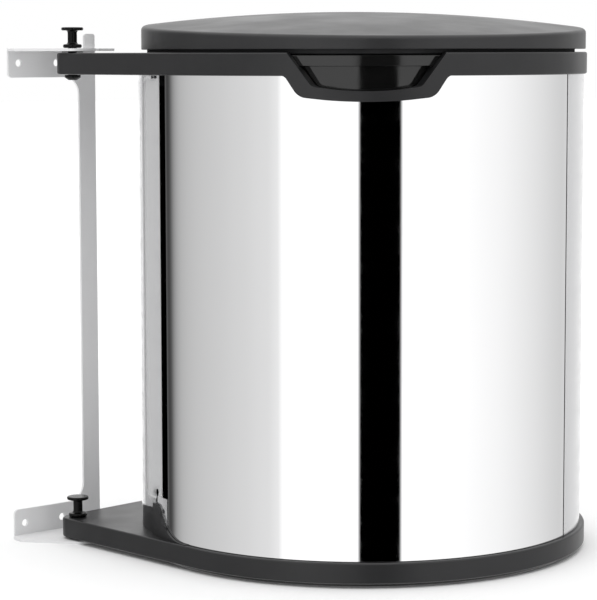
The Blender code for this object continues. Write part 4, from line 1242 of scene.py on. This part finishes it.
def make_floor():
    bm = bmesh.new()
    bmesh.ops.create_grid(bm, x_segments=8, y_segments=8, size=FLOOR_HALF)
    floor = shape("studio_floor", bm)
    floor.location = (DRUM.x, DRUM.y, FLOOR)
    paper = Finish("studio_paper", 0.9, 0.0, 0.0)
    paper.colours(paper.noise(2.0), (0.91, 0.91, 0.91), (0.93, 0.93, 0.93))
    floor.data.materials.append(paper.material)
    floor.visible_glossy = False


def fill_ramp(ramp):
    """Gives a new ramp the stops of AROUND. It already has one at each end."""
    for angle, _ in AROUND[1:-1]:
        ramp.elements.new((angle + 180) / 360)
    for stop, (_, level) in zip(ramp.elements, AROUND):
        stop.color = (level, level, level, 1.0)


def make_surroundings():
    """Soft light all round, with a narrow dark gap beside the camera that the polished cover shows."""
    world = bpy.data.worlds.new("studio")
    bpy.context.scene.world = world
    world.use_nodes = True
    nodes, links = world.node_tree.nodes, world.node_tree.links
    nodes.clear()
    place = nodes.new("ShaderNodeTexCoord").outputs["Generated"]
    turn = nodes.new("ShaderNodeVectorRotate")
    turn.rotation_type = "Z_AXIS"
    turn.inputs["Angle"].default_value = math.pi / 2 - CLOSED_ANGLE
    links.new(place, turn.inputs["Vector"])
    split = nodes.new("ShaderNodeSeparateXYZ")
    links.new(turn.outputs["Vector"], split.inputs["Vector"])
    azimuth = nodes.new("ShaderNodeMath")
    azimuth.operation = "ARCTAN2"
    links.new(split.outputs["Y"], azimuth.inputs[0])
    links.new(split.outputs["X"], azimuth.inputs[1])
    share = nodes.new("ShaderNodeMapRange")
    share.inputs["From Min"].default_value = -math.pi
    share.inputs["From Max"].default_value = math.pi
    links.new(azimuth.outputs["Value"], share.inputs["Value"])
    ramp = nodes.new("ShaderNodeValToRGB")
    links.new(share.outputs["Result"], ramp.inputs["Fac"])
    fill_ramp(ramp.color_ramp)
    above = nodes.new("ShaderNodeMapRange")
    above.interpolation_type = "SMOOTHSTEP"
    above.inputs["From Min"].default_value = math.sin(math.radians(OVERHEAD_FROM))
    above.inputs["From Max"].default_value = math.sin(math.radians(OVERHEAD_FULL))
    links.new(split.outputs["Z"], above.inputs["Value"])
    blend = nodes.new("ShaderNodeMix")
    blend.data_type = "RGBA"
    blend.inputs["B"].default_value = (OVERHEAD, OVERHEAD, OVERHEAD, 1.0)
    links.new(above.outputs["Result"], blend.inputs["Factor"])
    links.new(ramp.outputs["Color"], blend.inputs["A"])
    surroundings = nodes.new("ShaderNodeBackground")
    surroundings.inputs["Strength"].default_value = STUDIO_LEVEL
    links.new(blend.outputs["Result"], surroundings.inputs["Color"])
    backdrop = nodes.new("ShaderNodeBackground")
    backdrop.inputs["Color"].default_value = (1.0, 1.0, 1.0, 1.0)
    choose = nodes.new("ShaderNodeMixShader")
    links.new(nodes.new("ShaderNodeLightPath").outputs["Is Camera Ray"], choose.inputs["Fac"])
    links.new(surroundings.outputs["Background"], choose.inputs[1])
    links.new(backdrop.outputs["Background"], choose.inputs[2])
    output = nodes.new("ShaderNodeOutputWorld")
    links.new(choose.outputs["Shader"], output.inputs["Surface"])


def make_camera():
    camera = bpy.data.cameras.new("camera")
    camera.lens = CAMERA_LENS
    camera.sensor_width = CAMERA_SENSOR
    camera.sensor_fit = "AUTO"
    made = bpy.data.objects.new("camera", camera)
    bpy.context.scene.collection.objects.link(made)
    aim = Matrix.Rotation(CLOSED_ANGLE, 4, "Z") @ Matrix.Rotation(math.radians(90 - CAMERA_PITCH), 4, "X")
    aim = aim @ Matrix.Rotation(math.radians(CAMERA_ROLL), 4, "Z")
    made.matrix_world = Matrix.Translation(CAMERA_PLACE) @ aim
    bpy.context.scene.camera = made


make_bracket()
make_pins()
make_collars()
make_base()
make_ring()
make_cover()
make_rear_shell()
make_seam_strip()
make_pillar()
make_fasteners()
make_bucket()
make_lid()
make_seal()
make_hinge_rod()
make_floor()
make_surroundings()
make_camera()
bpy.context.scene.view_settings.view_transform = "Standard"
